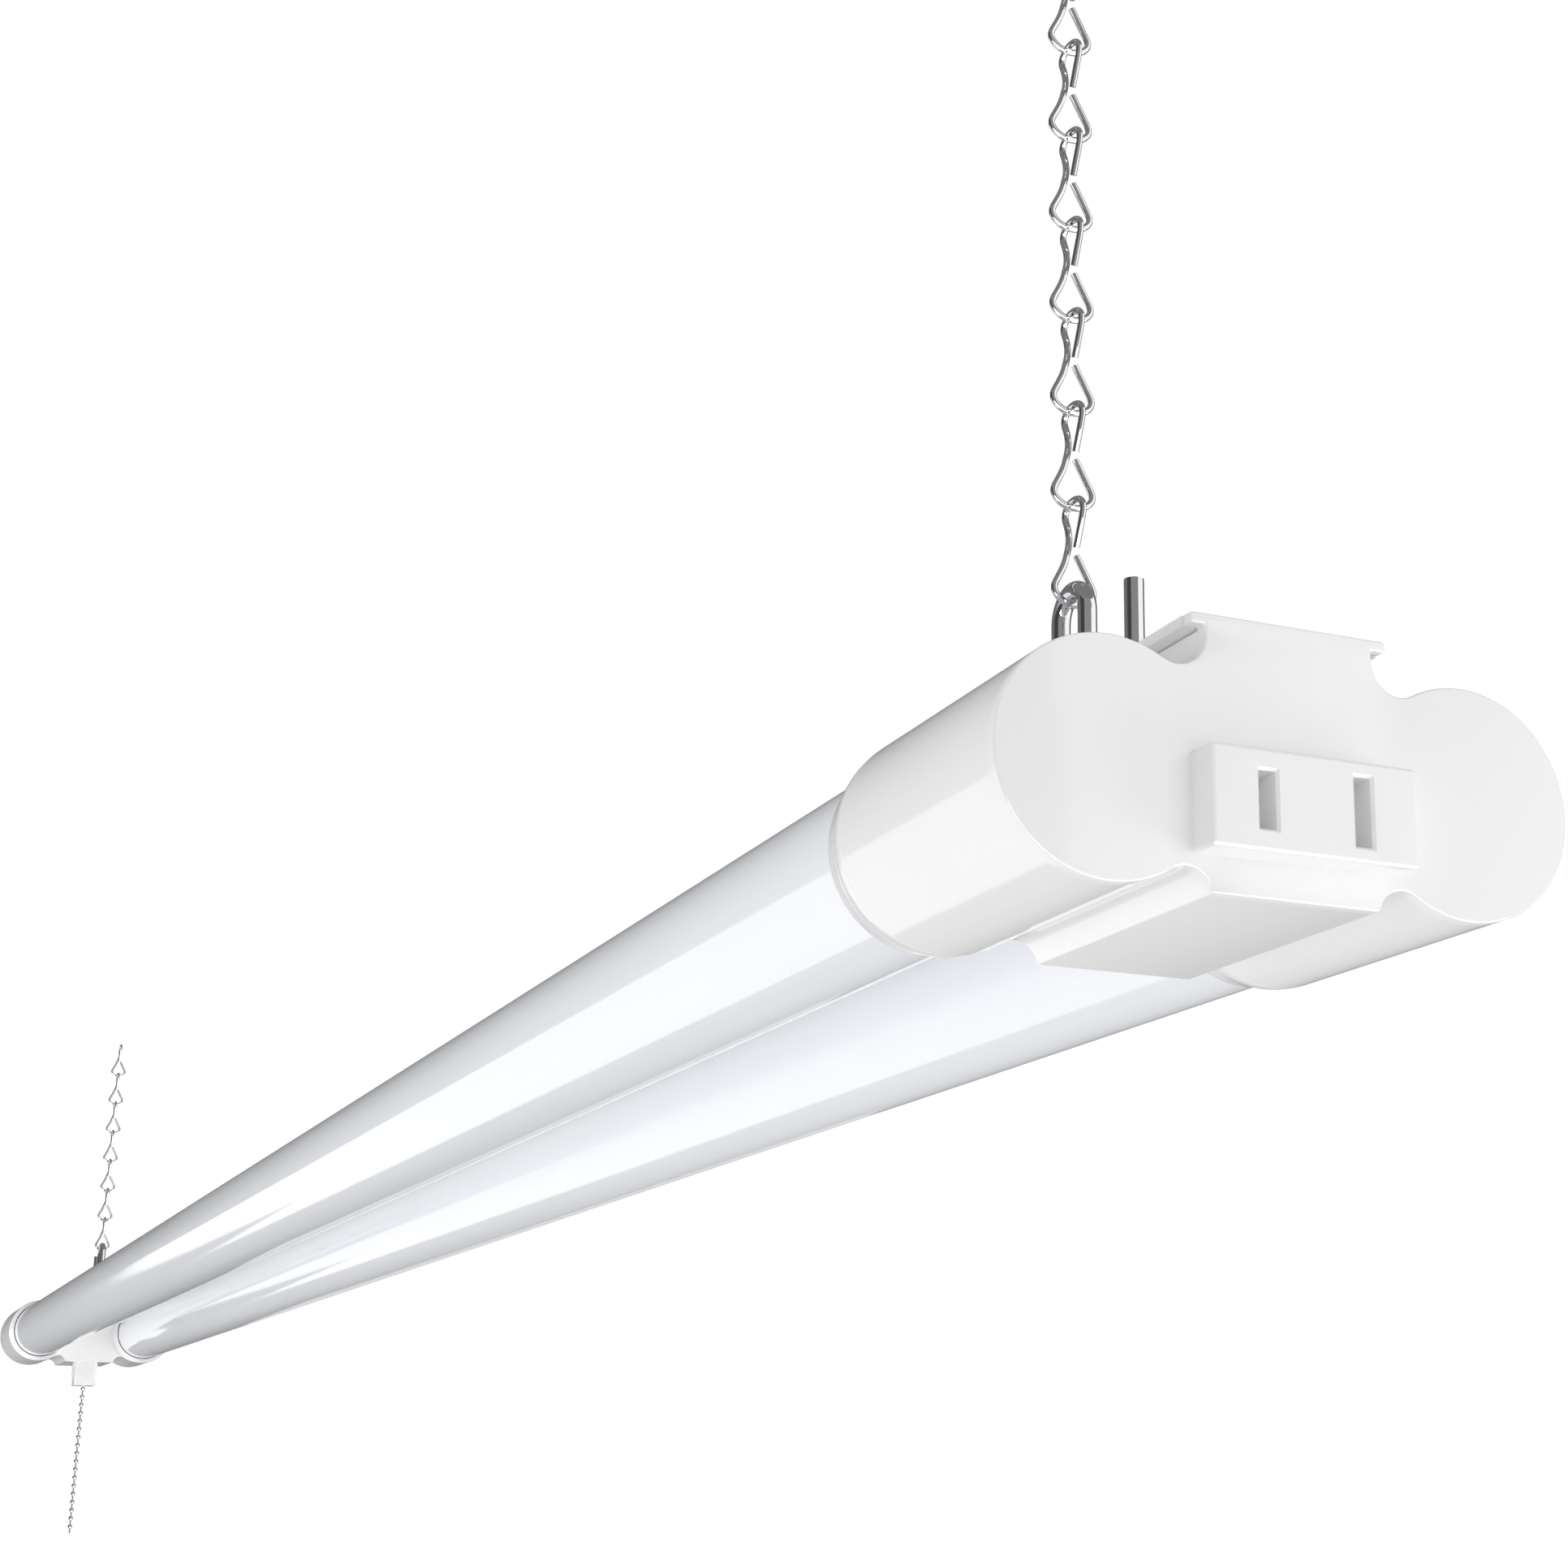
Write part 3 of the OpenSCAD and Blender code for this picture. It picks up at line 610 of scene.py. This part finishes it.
@dataclass
class Studio:
    """Camera, lamps, cards, floor and background.

    Fill is the background's light on the object, and white is what the camera and gloss
    see of it. The camera's turns are in radians, and its focal length and middle are in
    pixels of the photograph's frame.
    """

    fill: float = 0.62
    white: float = 1.0
    floor_half: float = 12.0
    floor_z: float = -6.2
    floor_tones: tuple[float, float] = (0.8, 0.84)
    floor_glow: float = 0.9
    lamps: tuple[Lamp, ...] = (
        Lamp("left_softbox", (-1.9, 1.2, -0.6), (0, 0, -0.02), (1.4, 1.4), 26),
        Lamp("far_left_softbox", (-2.6, -0.6, 0.0), (0, -0.3, -0.02), (2.0, 2.0), 5),
        Lamp("front_softbox", (0.2, -3.2, 0.0), (0, -0.6, -0.02), (3.0, 3.0), 23),
        Lamp("right_softbox", (2.4, -1.2, -1.2), (0, -0.2, -0.02), (1.5, 1.5), 21),
        Lamp("side_softbox", (2.8, -1.0, -0.4), (0, -0.6, -0.02), (1.2, 1.2), 6),
        Lamp("low_softbox", (0, 0, -2.6), (0, 0, 0), (4, 4), 29),
    )
    cards: tuple[Card, ...] = (
        Card("band_card", (-50, -8), (-44, 2.5), 1.08, (0, 13)),
        Card("ahead_card", (-8, 12), (-44, 2.5), 0.17, (13, 0)),
        Card("axis_card", (-8.5, 9), (-9.5, 9.5), 0.12, (0, 0), 5.8),
        Card("lip_card", (10, 26), (-6, 9), 0.6, (0, 0), 5.8),
        Card("right_card", (12, 97), (-44, 2.5), 0.25),
        Card("upper_left_card", (-73, -8), (2.5, 40), 0.2),
        Card("upper_right_card", (-8, 97), (2.5, 40), 0.16),
        Card("top_card", (-180, 180), (40, 89), 0.25),
        Card("softbox_card", (97, 162), (-20, 40), 1.3),
        Card("low_front_card", (97, 245), (-70, -20), 5.0, (0, 0), 5.8),
        Card("back_card", (162, 237), (-20, 40), 0.33),
        Card("flag_card", (237, 287), (-44, 40), 0.07),
        Card("front_left_card", (287, 310), (-44, 9), 0.6),
        Card("bottom_card", (-180, 180), (-89, -44), 0.9),
    )
    eye: tuple[float, float, float] = (-0.1605, -0.8529, -0.1032)
    yaw: float = 0.4361
    pitch: float = 0.2722
    roll: float = 0.0032
    focal_px: float = 3174.03
    frame_px: float = 1932.0
    centre_px: tuple[float, float] = (1197.65, 968.09)
    sensor_mm: float = 36.0

    def camera(self) -> bpy.types.Object:
        """Makes the camera at the photograph's viewpoint.

        Returns:
            The camera object.
        """
        data = bpy.data.cameras.new("photo_camera")
        data.sensor_width = self.sensor_mm
        data.lens = self.focal_px / self.frame_px * self.sensor_mm
        data.shift_x = 0.5 - self.centre_px[0] / self.frame_px
        data.shift_y = self.centre_px[1] / self.frame_px - 0.5
        data.clip_start, data.clip_end = 0.01, 100
        ahead = Vector((
            math.sin(self.yaw) * math.cos(self.pitch),
            math.cos(self.yaw) * math.cos(self.pitch),
            math.sin(self.pitch),
        ))
        right = Vector((math.cos(self.yaw), -math.sin(self.yaw), 0))
        up = right.cross(ahead)
        tilted_right = math.cos(self.roll) * right + math.sin(self.roll) * up
        tilted_up = math.cos(self.roll) * up - math.sin(self.roll) * right
        camera = new_object("photo_camera", data)
        turn = Matrix((tilted_right, tilted_up, -ahead)).transposed().to_4x4()
        camera.matrix_world = Matrix.Translation(self.eye) @ turn
        bpy.context.scene.camera = camera
        return camera

    def world(self) -> None:
        """White background for the eye and for gloss, plain soft light on the object."""
        world = bpy.data.worlds.new("studio_world")
        bpy.context.scene.world = world
        world.use_nodes = True
        world.node_tree.nodes.clear()
        t = NodeTree(world.node_tree)
        white = t.add("Background", {"Color": (1, 1, 1, 1), "Strength": self.white})
        fill = t.add("Background", {"Color": (1, 1, 1, 1), "Strength": self.fill})
        mix = t.add("MixShader", {0: t.backdrop_rays(), 1: fill.outputs[0], 2: white.outputs[0]})
        out = t.add("OutputWorld")
        t.tree.links.new(mix.outputs[0], out.inputs["Surface"])

    def floor(self) -> bpy.types.Object:
        """Makes the pale floor below the fixture.

        Returns:
            The floor.
        """
        bm = bmesh.new()
        bmesh.ops.create_grid(bm, x_segments=8, y_segments=8, size=self.floor_half)
        bmesh.ops.translate(bm, verts=bm.verts, vec=(0, 0, self.floor_z))
        floor = new_object("pale_floor", new_mesh("pale_floor", bm))
        made, t = new_material("pale_floor")
        place = t.add("TexCoord").outputs["Object"]
        mottle = t.add("TexNoise", {"Vector": place, "Scale": 3.0, "Detail": 4.0})
        tone = t.add("Mix", {"Factor": mottle.outputs[0]}, data_type="RGBA")
        for label, level in zip("AB", self.floor_tones):
            tone.inputs[label].default_value = (level, level, level, 1)
        shader = t.add("BsdfDiffuse", {"Color": tone.outputs["Result"]})
        white = t.add("Emission", {"Strength": 1.0})
        seen = t.math("MULTIPLY", t.backdrop_rays(), self.floor_glow)
        mix = t.add("MixShader", {0: seen, 1: shader.outputs[0], 2: white.outputs[0]})
        out = t.add("OutputMaterial")
        t.tree.links.new(mix.outputs[0], out.inputs["Surface"])
        floor.data.materials.append(made)
        return floor

    def build(self) -> None:
        """Builds the whole studio."""
        self.camera()
        self.world()
        self.floor()
        for thing in self.lamps + self.cards:
            thing.build()
        bpy.context.scene.view_settings.view_transform = "Standard"
        log.info("studio ready")


# ------------------------------------------------------------------- pieces


class Outline:
    """A line drawn in the XZ plane with bmesh operators, in millimetres."""

    def __init__(self, x: float, z: float) -> None:
        """Starts the line.

        Args:
            x: Start across the fixture.
            z: Start in height.
        """
        self.bm = bmesh.new()
        self.tip = self.bm.verts.new((x, 0, z))

    def line(self, x: float, z: float) -> "Outline":
        """Draws a straight line to a point.

        Args:
            x: The point across the fixture.
            z: The point in height.

        Returns:
            The outline.
        """
        self.tip = bmesh.ops.extrude_vert_indiv(self.bm, verts=[self.tip])["verts"][0]
        self.tip.co = (x, 0, z)
        return self

    def arc(self, x: float, z: float, clockwise: float, steps: int) -> "Outline":
        """Draws an arc about a middle.

        Args:
            x: The middle across the fixture.
            z: The middle in height.
            clockwise: Angle in degrees, seen from the near end.
            steps: Number of pieces in the arc.

        Returns:
            The outline.
        """
        got = bmesh.ops.spin(
            self.bm, geom=[self.tip], cent=(x, 0, z), axis=(0, 1, 0), dvec=(0, 0, 0),
            angle=math.radians(clockwise), steps=steps, use_merge=False, use_duplicate=False,
        )
        self.tip = next(g for g in got["geom_last"] if isinstance(g, bmesh.types.BMVert))
        return self

    def mirrored_face(self) -> bmesh.types.BMFace:
        """Mirrors the half outline in X and fills it.

        Returns:
            The face.
        """
        half = self.bm.verts[:] + self.bm.edges[:]
        bmesh.ops.mirror(self.bm, geom=half, matrix=Matrix.Identity(4), merge_dist=MERGE, axis="X")
        return bmesh.ops.contextual_create(self.bm, geom=self.bm.edges[:])["faces"][0]


def make_piece(name: str, bm: bmesh.types.BMesh, sharp: float = 30) -> bpy.types.Object:
    """Turns a finished bmesh in millimetres into an object at the origin, in metres.

    Args:
        name: The piece's name.
        bm: The shape, which is freed.
        sharp: Angle in degrees above which an edge stays sharp.

    Returns:
        The object.
    """
    bmesh.ops.remove_doubles(bm, verts=bm.verts, dist=MERGE)
    bmesh.ops.recalc_face_normals(bm, faces=bm.faces)
    bmesh.ops.scale(bm, vec=(MM,) * 3, verts=bm.verts)
    mesh = new_mesh(name, bm)
    shade(mesh, sharp)
    return new_object(name, mesh)


def moved_verts(got: list) -> list[bmesh.types.BMVert]:
    """Returns the vertices among what an operator gave back."""
    return [g for g in got if isinstance(g, bmesh.types.BMVert)]


def bevel_sharp(
    bm: bmesh.types.BMesh, width: float, segments: int,
    keep: Callable[[bmesh.types.BMEdge], bool], above: float = 35,
) -> None:
    """Rounds the edges that are sharper than an angle.

    Args:
        bm: The shape.
        width: Width of the rounding.
        segments: Number of faces across it.
        keep: Test of an edge that may be rounded.
        above: Angle in degrees.
    """
    edges = [
        e for e in bm.edges
        if len(e.link_faces) == 2 and math.degrees(e.calc_face_angle(0)) > above and keep(e)
    ]
    bmesh.ops.bevel(
        bm, geom=edges, offset=width, offset_type="OFFSET", segments=segments, profile=0.5,
        affect="EDGES", clamp_overlap=True, material=-1, loop_slide=True,
    )


def cut_away(piece: bpy.types.Object, cutter: bpy.types.Object) -> bpy.types.Object:
    """Cuts one shape out of another and removes the cutter.

    Args:
        piece: What is cut.
        cutter: The shape that is taken away.

    Returns:
        The cut piece.
    """
    tool = piece.modifiers.new("cut", "BOOLEAN")
    tool.operation, tool.solver, tool.object = "DIFFERENCE", "EXACT", cutter
    apply_modifiers(piece)
    bpy.data.objects.remove(cutter)
    return piece


def final_mesh(piece: bpy.types.Object) -> bpy.types.Mesh:
    """Takes a piece's shape as it stands, with its curve or modifiers worked out.

    Args:
        piece: The piece.

    Returns:
        The shape as a new mesh.
    """
    bpy.context.view_layer.update()
    ready = piece.evaluated_get(bpy.context.evaluated_depsgraph_get())
    return bpy.data.meshes.new_from_object(ready)


def apply_modifiers(piece: bpy.types.Object) -> None:
    """Puts a piece's modifiers into its mesh.

    Args:
        piece: The piece.
    """
    mesh = final_mesh(piece)
    piece.modifiers.clear()
    piece.data = mesh


@dataclass
class EndCap:
    """The moulded cap at one end: skin with rounded edges and two tube sockets.

    The core is the even part, behind which each socket tapers to its lip. The socket's
    profile is radius and distance from the cap's face.
    """

    end: str
    flip: bool
    core: float = 46
    socket_profile: tuple[tuple[float, float], ...] = (
        (13.3, 44), (14.6, 44), (15, 45.9), (14.97, 46.9), (14.86, 47.9), (14.66, 48.9),
        (14.4, 49.8), (14.2, 50.35), (14.12, 50.5), (13.95, 51.3), (13.8, 52.2),
        (13.58, 53.3), (13.48, 53.8), (13.38, 54), (13.3, 53.9),
    )
    wall: float = 2.2
    neck: float = 11.75
    foot: float = 11.6
    foot_z: float = -34.5
    plate: tuple[float, float] = (13.8, 1.4)
    lobe: float = 15
    scoop: float = 4
    groove: float = 3.4
    socket: float = 13.1
    socket_from: float = 24
    socket_cut: float = 60
    edge: float = 0.4
    edge_steps: int = 3
    lobe_steps: int = 72
    scoop_steps: int = 16
    groove_steps: int = 14
    socket_steps: int = 144
    cutter_steps: int = 128
    sharp: float = 18

    def tangent(self, wall_x: float, radius: float) -> tuple[float, float, float]:
        """Finds the hollow that touches a wall and the lobe.

        Args:
            wall_x: The wall's distance from the middle.
            radius: The hollow's radius.

        Returns:
            The hollow's middle, as X and as height from the tube's axis, and the angle of
            the line from it down to the lobe's middle.
        """
        x = wall_x + radius
        rise = math.sqrt((self.lobe + radius) ** 2 - (TUBE_X - x) ** 2)
        return x, rise, math.degrees(math.atan2(rise, TUBE_X - x))

    def outline(self) -> Outline:
        """Draws the half outline of the cap's face, plate included.

        Returns:
            The outline.
        """
        scoop_x, scoop_rise, scoop_angle = self.tangent(self.neck, self.scoop)
        groove_x, groove_rise, groove_angle = self.tangent(self.foot, self.groove)
        foot_dip = math.degrees(math.asin((self.foot_z - AXIS_Z + groove_rise) / self.groove))
        plate_x, plate_thick = self.plate
        line = Outline(0, 0).line(plate_x, 0).line(plate_x, -plate_thick)
        line.line(self.neck, -plate_thick)
        line.line(self.neck, AXIS_Z + scoop_rise)
        line.arc(scoop_x, AXIS_Z + scoop_rise, -(180 - scoop_angle), self.scoop_steps)
        line.arc(TUBE_X, AXIS_Z, 360 - scoop_angle - groove_angle, self.lobe_steps)
        line.arc(
            groove_x, AXIS_Z - groove_rise, -(180 - foot_dip - groove_angle), self.groove_steps
        )
        line.line(0, self.foot_z)
        return line

    def skin(self) -> bpy.types.Object:
        """Extrudes the cap's even part and rounds its front edges.

        Returns:
            The skin, at the near end.
        """
        line = self.outline()
        bm = line.bm
        line.mirrored_face()
        corner = Vector((self.neck, 0, -self.plate[1]))
        corners = [
            v for v in bm.verts if (Vector((abs(v.co.x), 0, v.co.z)) - corner).length < 10 * MERGE
        ]
        bmesh.ops.connect_verts(bm, verts=corners)
        got = bmesh.ops.extrude_face_region(bm, geom=bm.faces[:], use_keep_orig=True)["geom"]
        bmesh.ops.translate(bm, verts=moved_verts(got), vec=(0, self.wall, 0))
        back = [g for g in got if isinstance(g, bmesh.types.BMFace)]
        body = min(back, key=lambda f: f.calc_center_median().z)
        got = bmesh.ops.extrude_face_region(bm, geom=[body])["geom"]
        bmesh.ops.translate(bm, verts=moved_verts(got), vec=(0, self.core - self.wall, 0))
        if body.is_valid:
            bmesh.ops.delete(bm, geom=[body], context="FACES_ONLY")
        bmesh.ops.recalc_face_normals(bm, faces=bm.faces)
        front = self.wall + self.edge
        bevel_sharp(bm, self.edge, self.edge_steps, lambda e: min(v.co.y for v in e.verts) < front)
        bmesh.ops.translate(bm, verts=bm.verts, vec=(0, -HALF_LEN, 0))
        return make_piece(self.end + "_cap_skin", bm, self.sharp)

    def add_sockets(self, skin: bpy.types.Object) -> None:
        """Turns the tapered socket round each tube and adds it to the skin.

        Args:
            skin: The cut skin, at the near end.
        """
        bm = bmesh.new()
        for side in (-1, 1):
            x = side * TUBE_X
            places = [(x + r, along - HALF_LEN, AXIS_Z) for r, along in self.socket_profile]
            ring = [bm.verts.new(places[0])]
            for place in places[1:]:
                ring += bmesh.ops.extrude_vert_indiv(bm, verts=[ring[-1]])["verts"]
                ring[-1].co = place
            edges = list({e for v in ring for e in v.link_edges})
            bmesh.ops.spin(
                bm, geom=ring + edges, cent=(x, 0, AXIS_Z), axis=(0, 1, 0), dvec=(0, 0, 0),
                angle=TURN, steps=self.socket_steps, use_merge=True, use_duplicate=False,
            )
        bmesh.ops.scale(bm, vec=(MM,) * 3, verts=bm.verts)
        bmesh.ops.recalc_face_normals(bm, faces=bm.faces)
        bm.from_mesh(skin.data)
        bm.to_mesh(skin.data)
        bm.free()

    def socket_cutter(self) -> bpy.types.Object:
        """Makes the two round plugs that cut the tube sockets.

        Returns:
            The cutter.
        """
        bm = bmesh.new()
        for side in (-1, 1):
            plug = bmesh.ops.create_cone(
                bm, cap_ends=True, segments=self.cutter_steps,
                radius1=self.socket, radius2=self.socket, depth=self.socket_cut,
            )["verts"]
            middle_y = self.socket_from + self.socket_cut / 2 - HALF_LEN
            bmesh.ops.rotate(bm, verts=plug, matrix=Matrix.Rotation(TURN / 4, 3, "X"))
            bmesh.ops.translate(bm, verts=plug, vec=(side * TUBE_X, middle_y, AXIS_Z))
        return make_piece(self.end + "_cutter", bm)

    def build(self, palette: Palette) -> None:
        """Builds the dressed cap in its place.

        Args:
            palette: The materials.
        """
        skin = cut_away(self.skin(), self.socket_cutter())
        self.add_sockets(skin)
        if self.flip:
            skin.data.transform(Matrix.Rotation(TURN / 2, 4, "Z"))
        shade(skin.data, self.sharp)
        palette.dress(skin, Slot.WHITE_PLASTIC)
        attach(skin, FIXTURE)
        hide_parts(self.end + "_end_cap")
        log.info("%s end cap skin: %d faces", self.end, len(skin.data.polygons))


@dataclass
class TubePair:
    """The two frosted tubes."""

    radius: float = 13
    wall: float = 1
    half: float = 576
    segments: int = 160
    lengths: int = 24
    sharp: float = 40

    def tube(self, side: str, x: float, palette: Palette) -> None:
        """Draws one tube out between the caps and dresses it.

        Args:
            side: left or right.
            x: The tube's distance from the middle, in millimetres.
            palette: The materials.
        """
        bm = bmesh.new()
        ring = bmesh.ops.create_circle(bm, segments=self.segments, radius=self.radius)["verts"]
        bmesh.ops.rotate(bm, verts=ring, matrix=Matrix.Rotation(TURN / 4, 3, "X"))
        bmesh.ops.translate(bm, verts=ring, vec=(x, -self.half, AXIS_Z))
        edges = bm.edges[:]
        step = 2 * self.half / self.lengths
        for _ in range(self.lengths):
            got = bmesh.ops.extrude_edge_only(bm, edges=edges)["geom"]
            verts = moved_verts(got)
            edges = [
                g for g in got
                if isinstance(g, bmesh.types.BMEdge) and all(v in verts for v in g.verts)
            ]
            bmesh.ops.translate(bm, verts=verts, vec=(0, step, 0))
        piece = make_piece(side + "_tube", bm)
        shell = piece.modifiers.new("wall", "SOLIDIFY")
        shell.thickness, shell.offset = self.wall * MM, -1
        apply_modifiers(piece)
        shade(piece.data, self.sharp)
        palette.dress(piece, Slot.FROSTED)
        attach(piece, FIXTURE)
        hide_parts(side + "_diffuser")
        log.info("%s tube: %d faces", side, len(piece.data.polygons))

    def build(self, palette: Palette) -> None:
        """Builds both tubes, dressed from the palette."""
        self.tube("left", -TUBE_X, palette)
        self.tube("right", TUBE_X, palette)


@dataclass
class Outlet:
    """The outlet block on the near cap, with two flared blade slots."""

    width: float = 28.6
    height: float = 12.5
    out: float = 4.8
    into: float = 1.0
    middle_z: float = -23.8
    edge: float = 0.6
    pitch: float = 13.2
    slot: float = 2.3
    heights: tuple[float, float] = (7.1, 8.6)
    mouth: float = 0.4
    depth: float = 4.2
    clear: float = 0.05
    edge_steps: int = 5
    sharp: float = 25

    def block(self) -> bpy.types.Object:
        """Makes the rounded block.

        Returns:
            The block.
        """
        bm = bmesh.new()
        bmesh.ops.create_cube(bm, size=1)
        deep = self.out + self.into
        bmesh.ops.scale(bm, vec=(self.width, deep, self.height), verts=bm.verts)
        middle_y = -HALF_LEN - self.out + deep / 2
        bmesh.ops.translate(bm, verts=bm.verts, vec=(0, middle_y, self.middle_z))
        back = -HALF_LEN + self.into - self.clear
        bevel_sharp(bm, self.edge, self.edge_steps, lambda e: min(v.co.y for v in e.verts) < back)
        return make_piece("outlet_front", bm, self.sharp)

    def slot_cutter(self) -> bpy.types.Object:
        """Makes the two slot plugs, each flared at its mouth.

        Returns:
            The cutter.
        """
        bm = bmesh.new()
        face = -HALF_LEN - self.out
        for side, height in zip((-1, 1), self.heights):
            middle = Vector((side * self.pitch / 2, face + self.depth / 2, self.middle_z))
            plug = bmesh.ops.create_cube(bm, size=1)["verts"]
            bmesh.ops.scale(bm, vec=(self.slot, self.depth, height), verts=plug)
            bmesh.ops.translate(bm, verts=plug, vec=middle)
            mouth = [f for f in {f for v in plug for f in v.link_faces} if f.normal.y < -0.9]
            bmesh.ops.translate(bm, verts=mouth[0].verts[:], vec=(0, self.mouth, 0))
            for vert in moved_verts(bmesh.ops.extrude_face_region(bm, geom=mouth)["geom"]):
                vert.co.y = face - self.clear
                vert.co.x += math.copysign(self.mouth, vert.co.x - middle.x)
                vert.co.z += math.copysign(self.mouth, vert.co.z - middle.z)
            for f in mouth:
                if f.is_valid:
                    bmesh.ops.delete(bm, geom=[f], context="FACES_ONLY")
        return make_piece("slot_cutter", bm)

    def build(self, palette: Palette) -> None:
        """Builds the dressed outlet.

        Args:
            palette: The materials.
        """
        block = cut_away(self.block(), self.slot_cutter())
        shade(block.data, self.sharp)
        palette.dress(block, Slot.WHITE_PLASTIC)
        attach(block, FIXTURE)
        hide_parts("outlet_block")
        log.info("outlet front: %d faces", len(block.data.polygons))


@dataclass
class JackChain:
    """One hanging chain: links of a single bent wire, two loops a quarter turn apart.

    Side is -1 at the near end and 1 at the far end. Along is the chain's distance from
    the middle, and lowest the height of the first link's lower bend.
    """

    end: str
    side: int
    count: int = 7
    wire: float = 1.0
    pitch: float = 14.9
    along: float = 542.9
    lowest: float = 21.1
    bends: int = 5
    sharp: float = 50
    # the wire's middle from its lower free end, round the lower loop, past the waist
    # and round the upper loop to its upper free end
    route: tuple[tuple[float, float, float], ...] = (
        (0.4, 0, 7.6), (1.33, 0, 5.85), (2.43, 0, 3.8), (2.98, 0, 2.75), (3.14, 0, 2.1),
        (2.93, 0, 1.35), (2.2, 0, 0.62), (1.1, 0, 0.14), (0, 0, 0), (-1.1, 0, 0.14),
        (-2.2, 0, 0.7), (-2.93, 0, 1.5), (-3.14, 0, 2.25), (-2.98, 0, 2.95), (-2.58, 0, 3.75),
        (-1.8, 0, 5.3), (-1.33, 0, 6.5), (-0.98, 0.2, 7.6), (-0.6, 0.6, 8.5), (-0.28, 0.98, 9.4),
        (-0.05, 1.3, 10.4), (0, 1.5, 11.3), (0, 1.78, 12.2), (0, 2.12, 13.0), (0, 2.45, 13.7),
        (0, 2.58, 14.3), (0, 2.4, 14.95), (0, 1.8, 15.48), (0, 0.95, 15.86), (0, 0, 16),
        (0, -1.1, 15.87), (0, -2.2, 15.45), (0, -2.92, 14.75), (0, -3.14, 14.0), (0, -2.98, 13.1),
        (0, -2.55, 12.0), (0, -1.8, 10.35), (0, -0.9, 8.45),
    )

    def link(self, index: int) -> bpy.types.Object:
        """Bends one link.

        Args:
            index: The link's number from the hook up.

        Returns:
            The link, in its place.
        """
        curve = bpy.data.curves.new("link_wire", "CURVE")
        curve.dimensions, curve.resolution_u = "3D", self.bends
        curve.bevel_depth, curve.bevel_resolution = self.wire / 2, self.bends
        curve.use_fill_caps = True
        spline = curve.splines.new("BEZIER")
        spline.bezier_points.add(len(self.route) - 1)
        for point, place in zip(spline.bezier_points, self.route):
            point.co = place
            point.handle_left_type = point.handle_right_type = "AUTO"
        bent = new_object("link_wire", curve)
        mesh = final_mesh(bent)
        bpy.data.objects.remove(bent)
        base = Vector((0, self.side * self.along, self.lowest + (index - 1) * self.pitch))
        mesh.transform(Matrix.Scale(MM, 4) @ Matrix.Translation(base))
        shade(mesh, self.sharp)
        return new_object(f"{self.end}_wire_{index}", mesh)

    def build(self, palette: Palette) -> None:
        """Builds the links and hangs each on its body.

        Args:
            palette: The materials.
        """
        for index in range(1, self.count + 1):
            piece = palette.dress(self.link(index), Slot.BRIGHT)
            node = f"{self.end}_link_{index}"
            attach(piece, node)
            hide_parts(node)
            log.info("%s: %d faces", node, len(piece.data.polygons))


@dataclass
class ReturnSpring:
    """The pull switch's coil spring, which hangs on the pull slider.

    The stroke is in metres, as the coil's own size is read from the frame; it is not used.
    """

    node: str = "return_spring"
    stroke: float = 5.0 * MM
    sharp: float = 50

    def build(self, nodes: dict[str, bpy.types.Object], palette: Palette) -> None:
        """Builds the coil from the node's mesh and hangs it on the pull slider.

        Args:
            nodes: Node name to object.
            palette: The materials.
        """
        bm = bmesh.new()
        bm.from_mesh(nodes[self.node].data)
        bmesh.ops.scale(bm, vec=(1 / MM,) * 3, verts=bm.verts)
        coil = palette.dress(make_piece("switch_spring", bm, self.sharp), Slot.SPRING)
        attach(coil, "pull_slider")
        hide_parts(self.node)
        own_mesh(coil)
        log.info("switch spring: %d faces", len(coil.data.polygons))


def main() -> None:
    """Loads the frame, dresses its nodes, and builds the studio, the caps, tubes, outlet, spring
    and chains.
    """
    logging.basicConfig(level=logging.INFO, format="%(name)s %(message)s")
    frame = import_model()
    Studio().build()
    palette = Palette()
    palette.dress_nodes(frame["nodes"])
    EndCap("near", False).build(palette)
    EndCap("far", True).build(palette)
    TubePair().build(palette)
    Outlet().build(palette)
    ReturnSpring().build(frame["nodes"], palette)
    JackChain("near", -1).build(palette)
    JackChain("far", 1).build(palette)


if __name__ == "__main__":
    main()
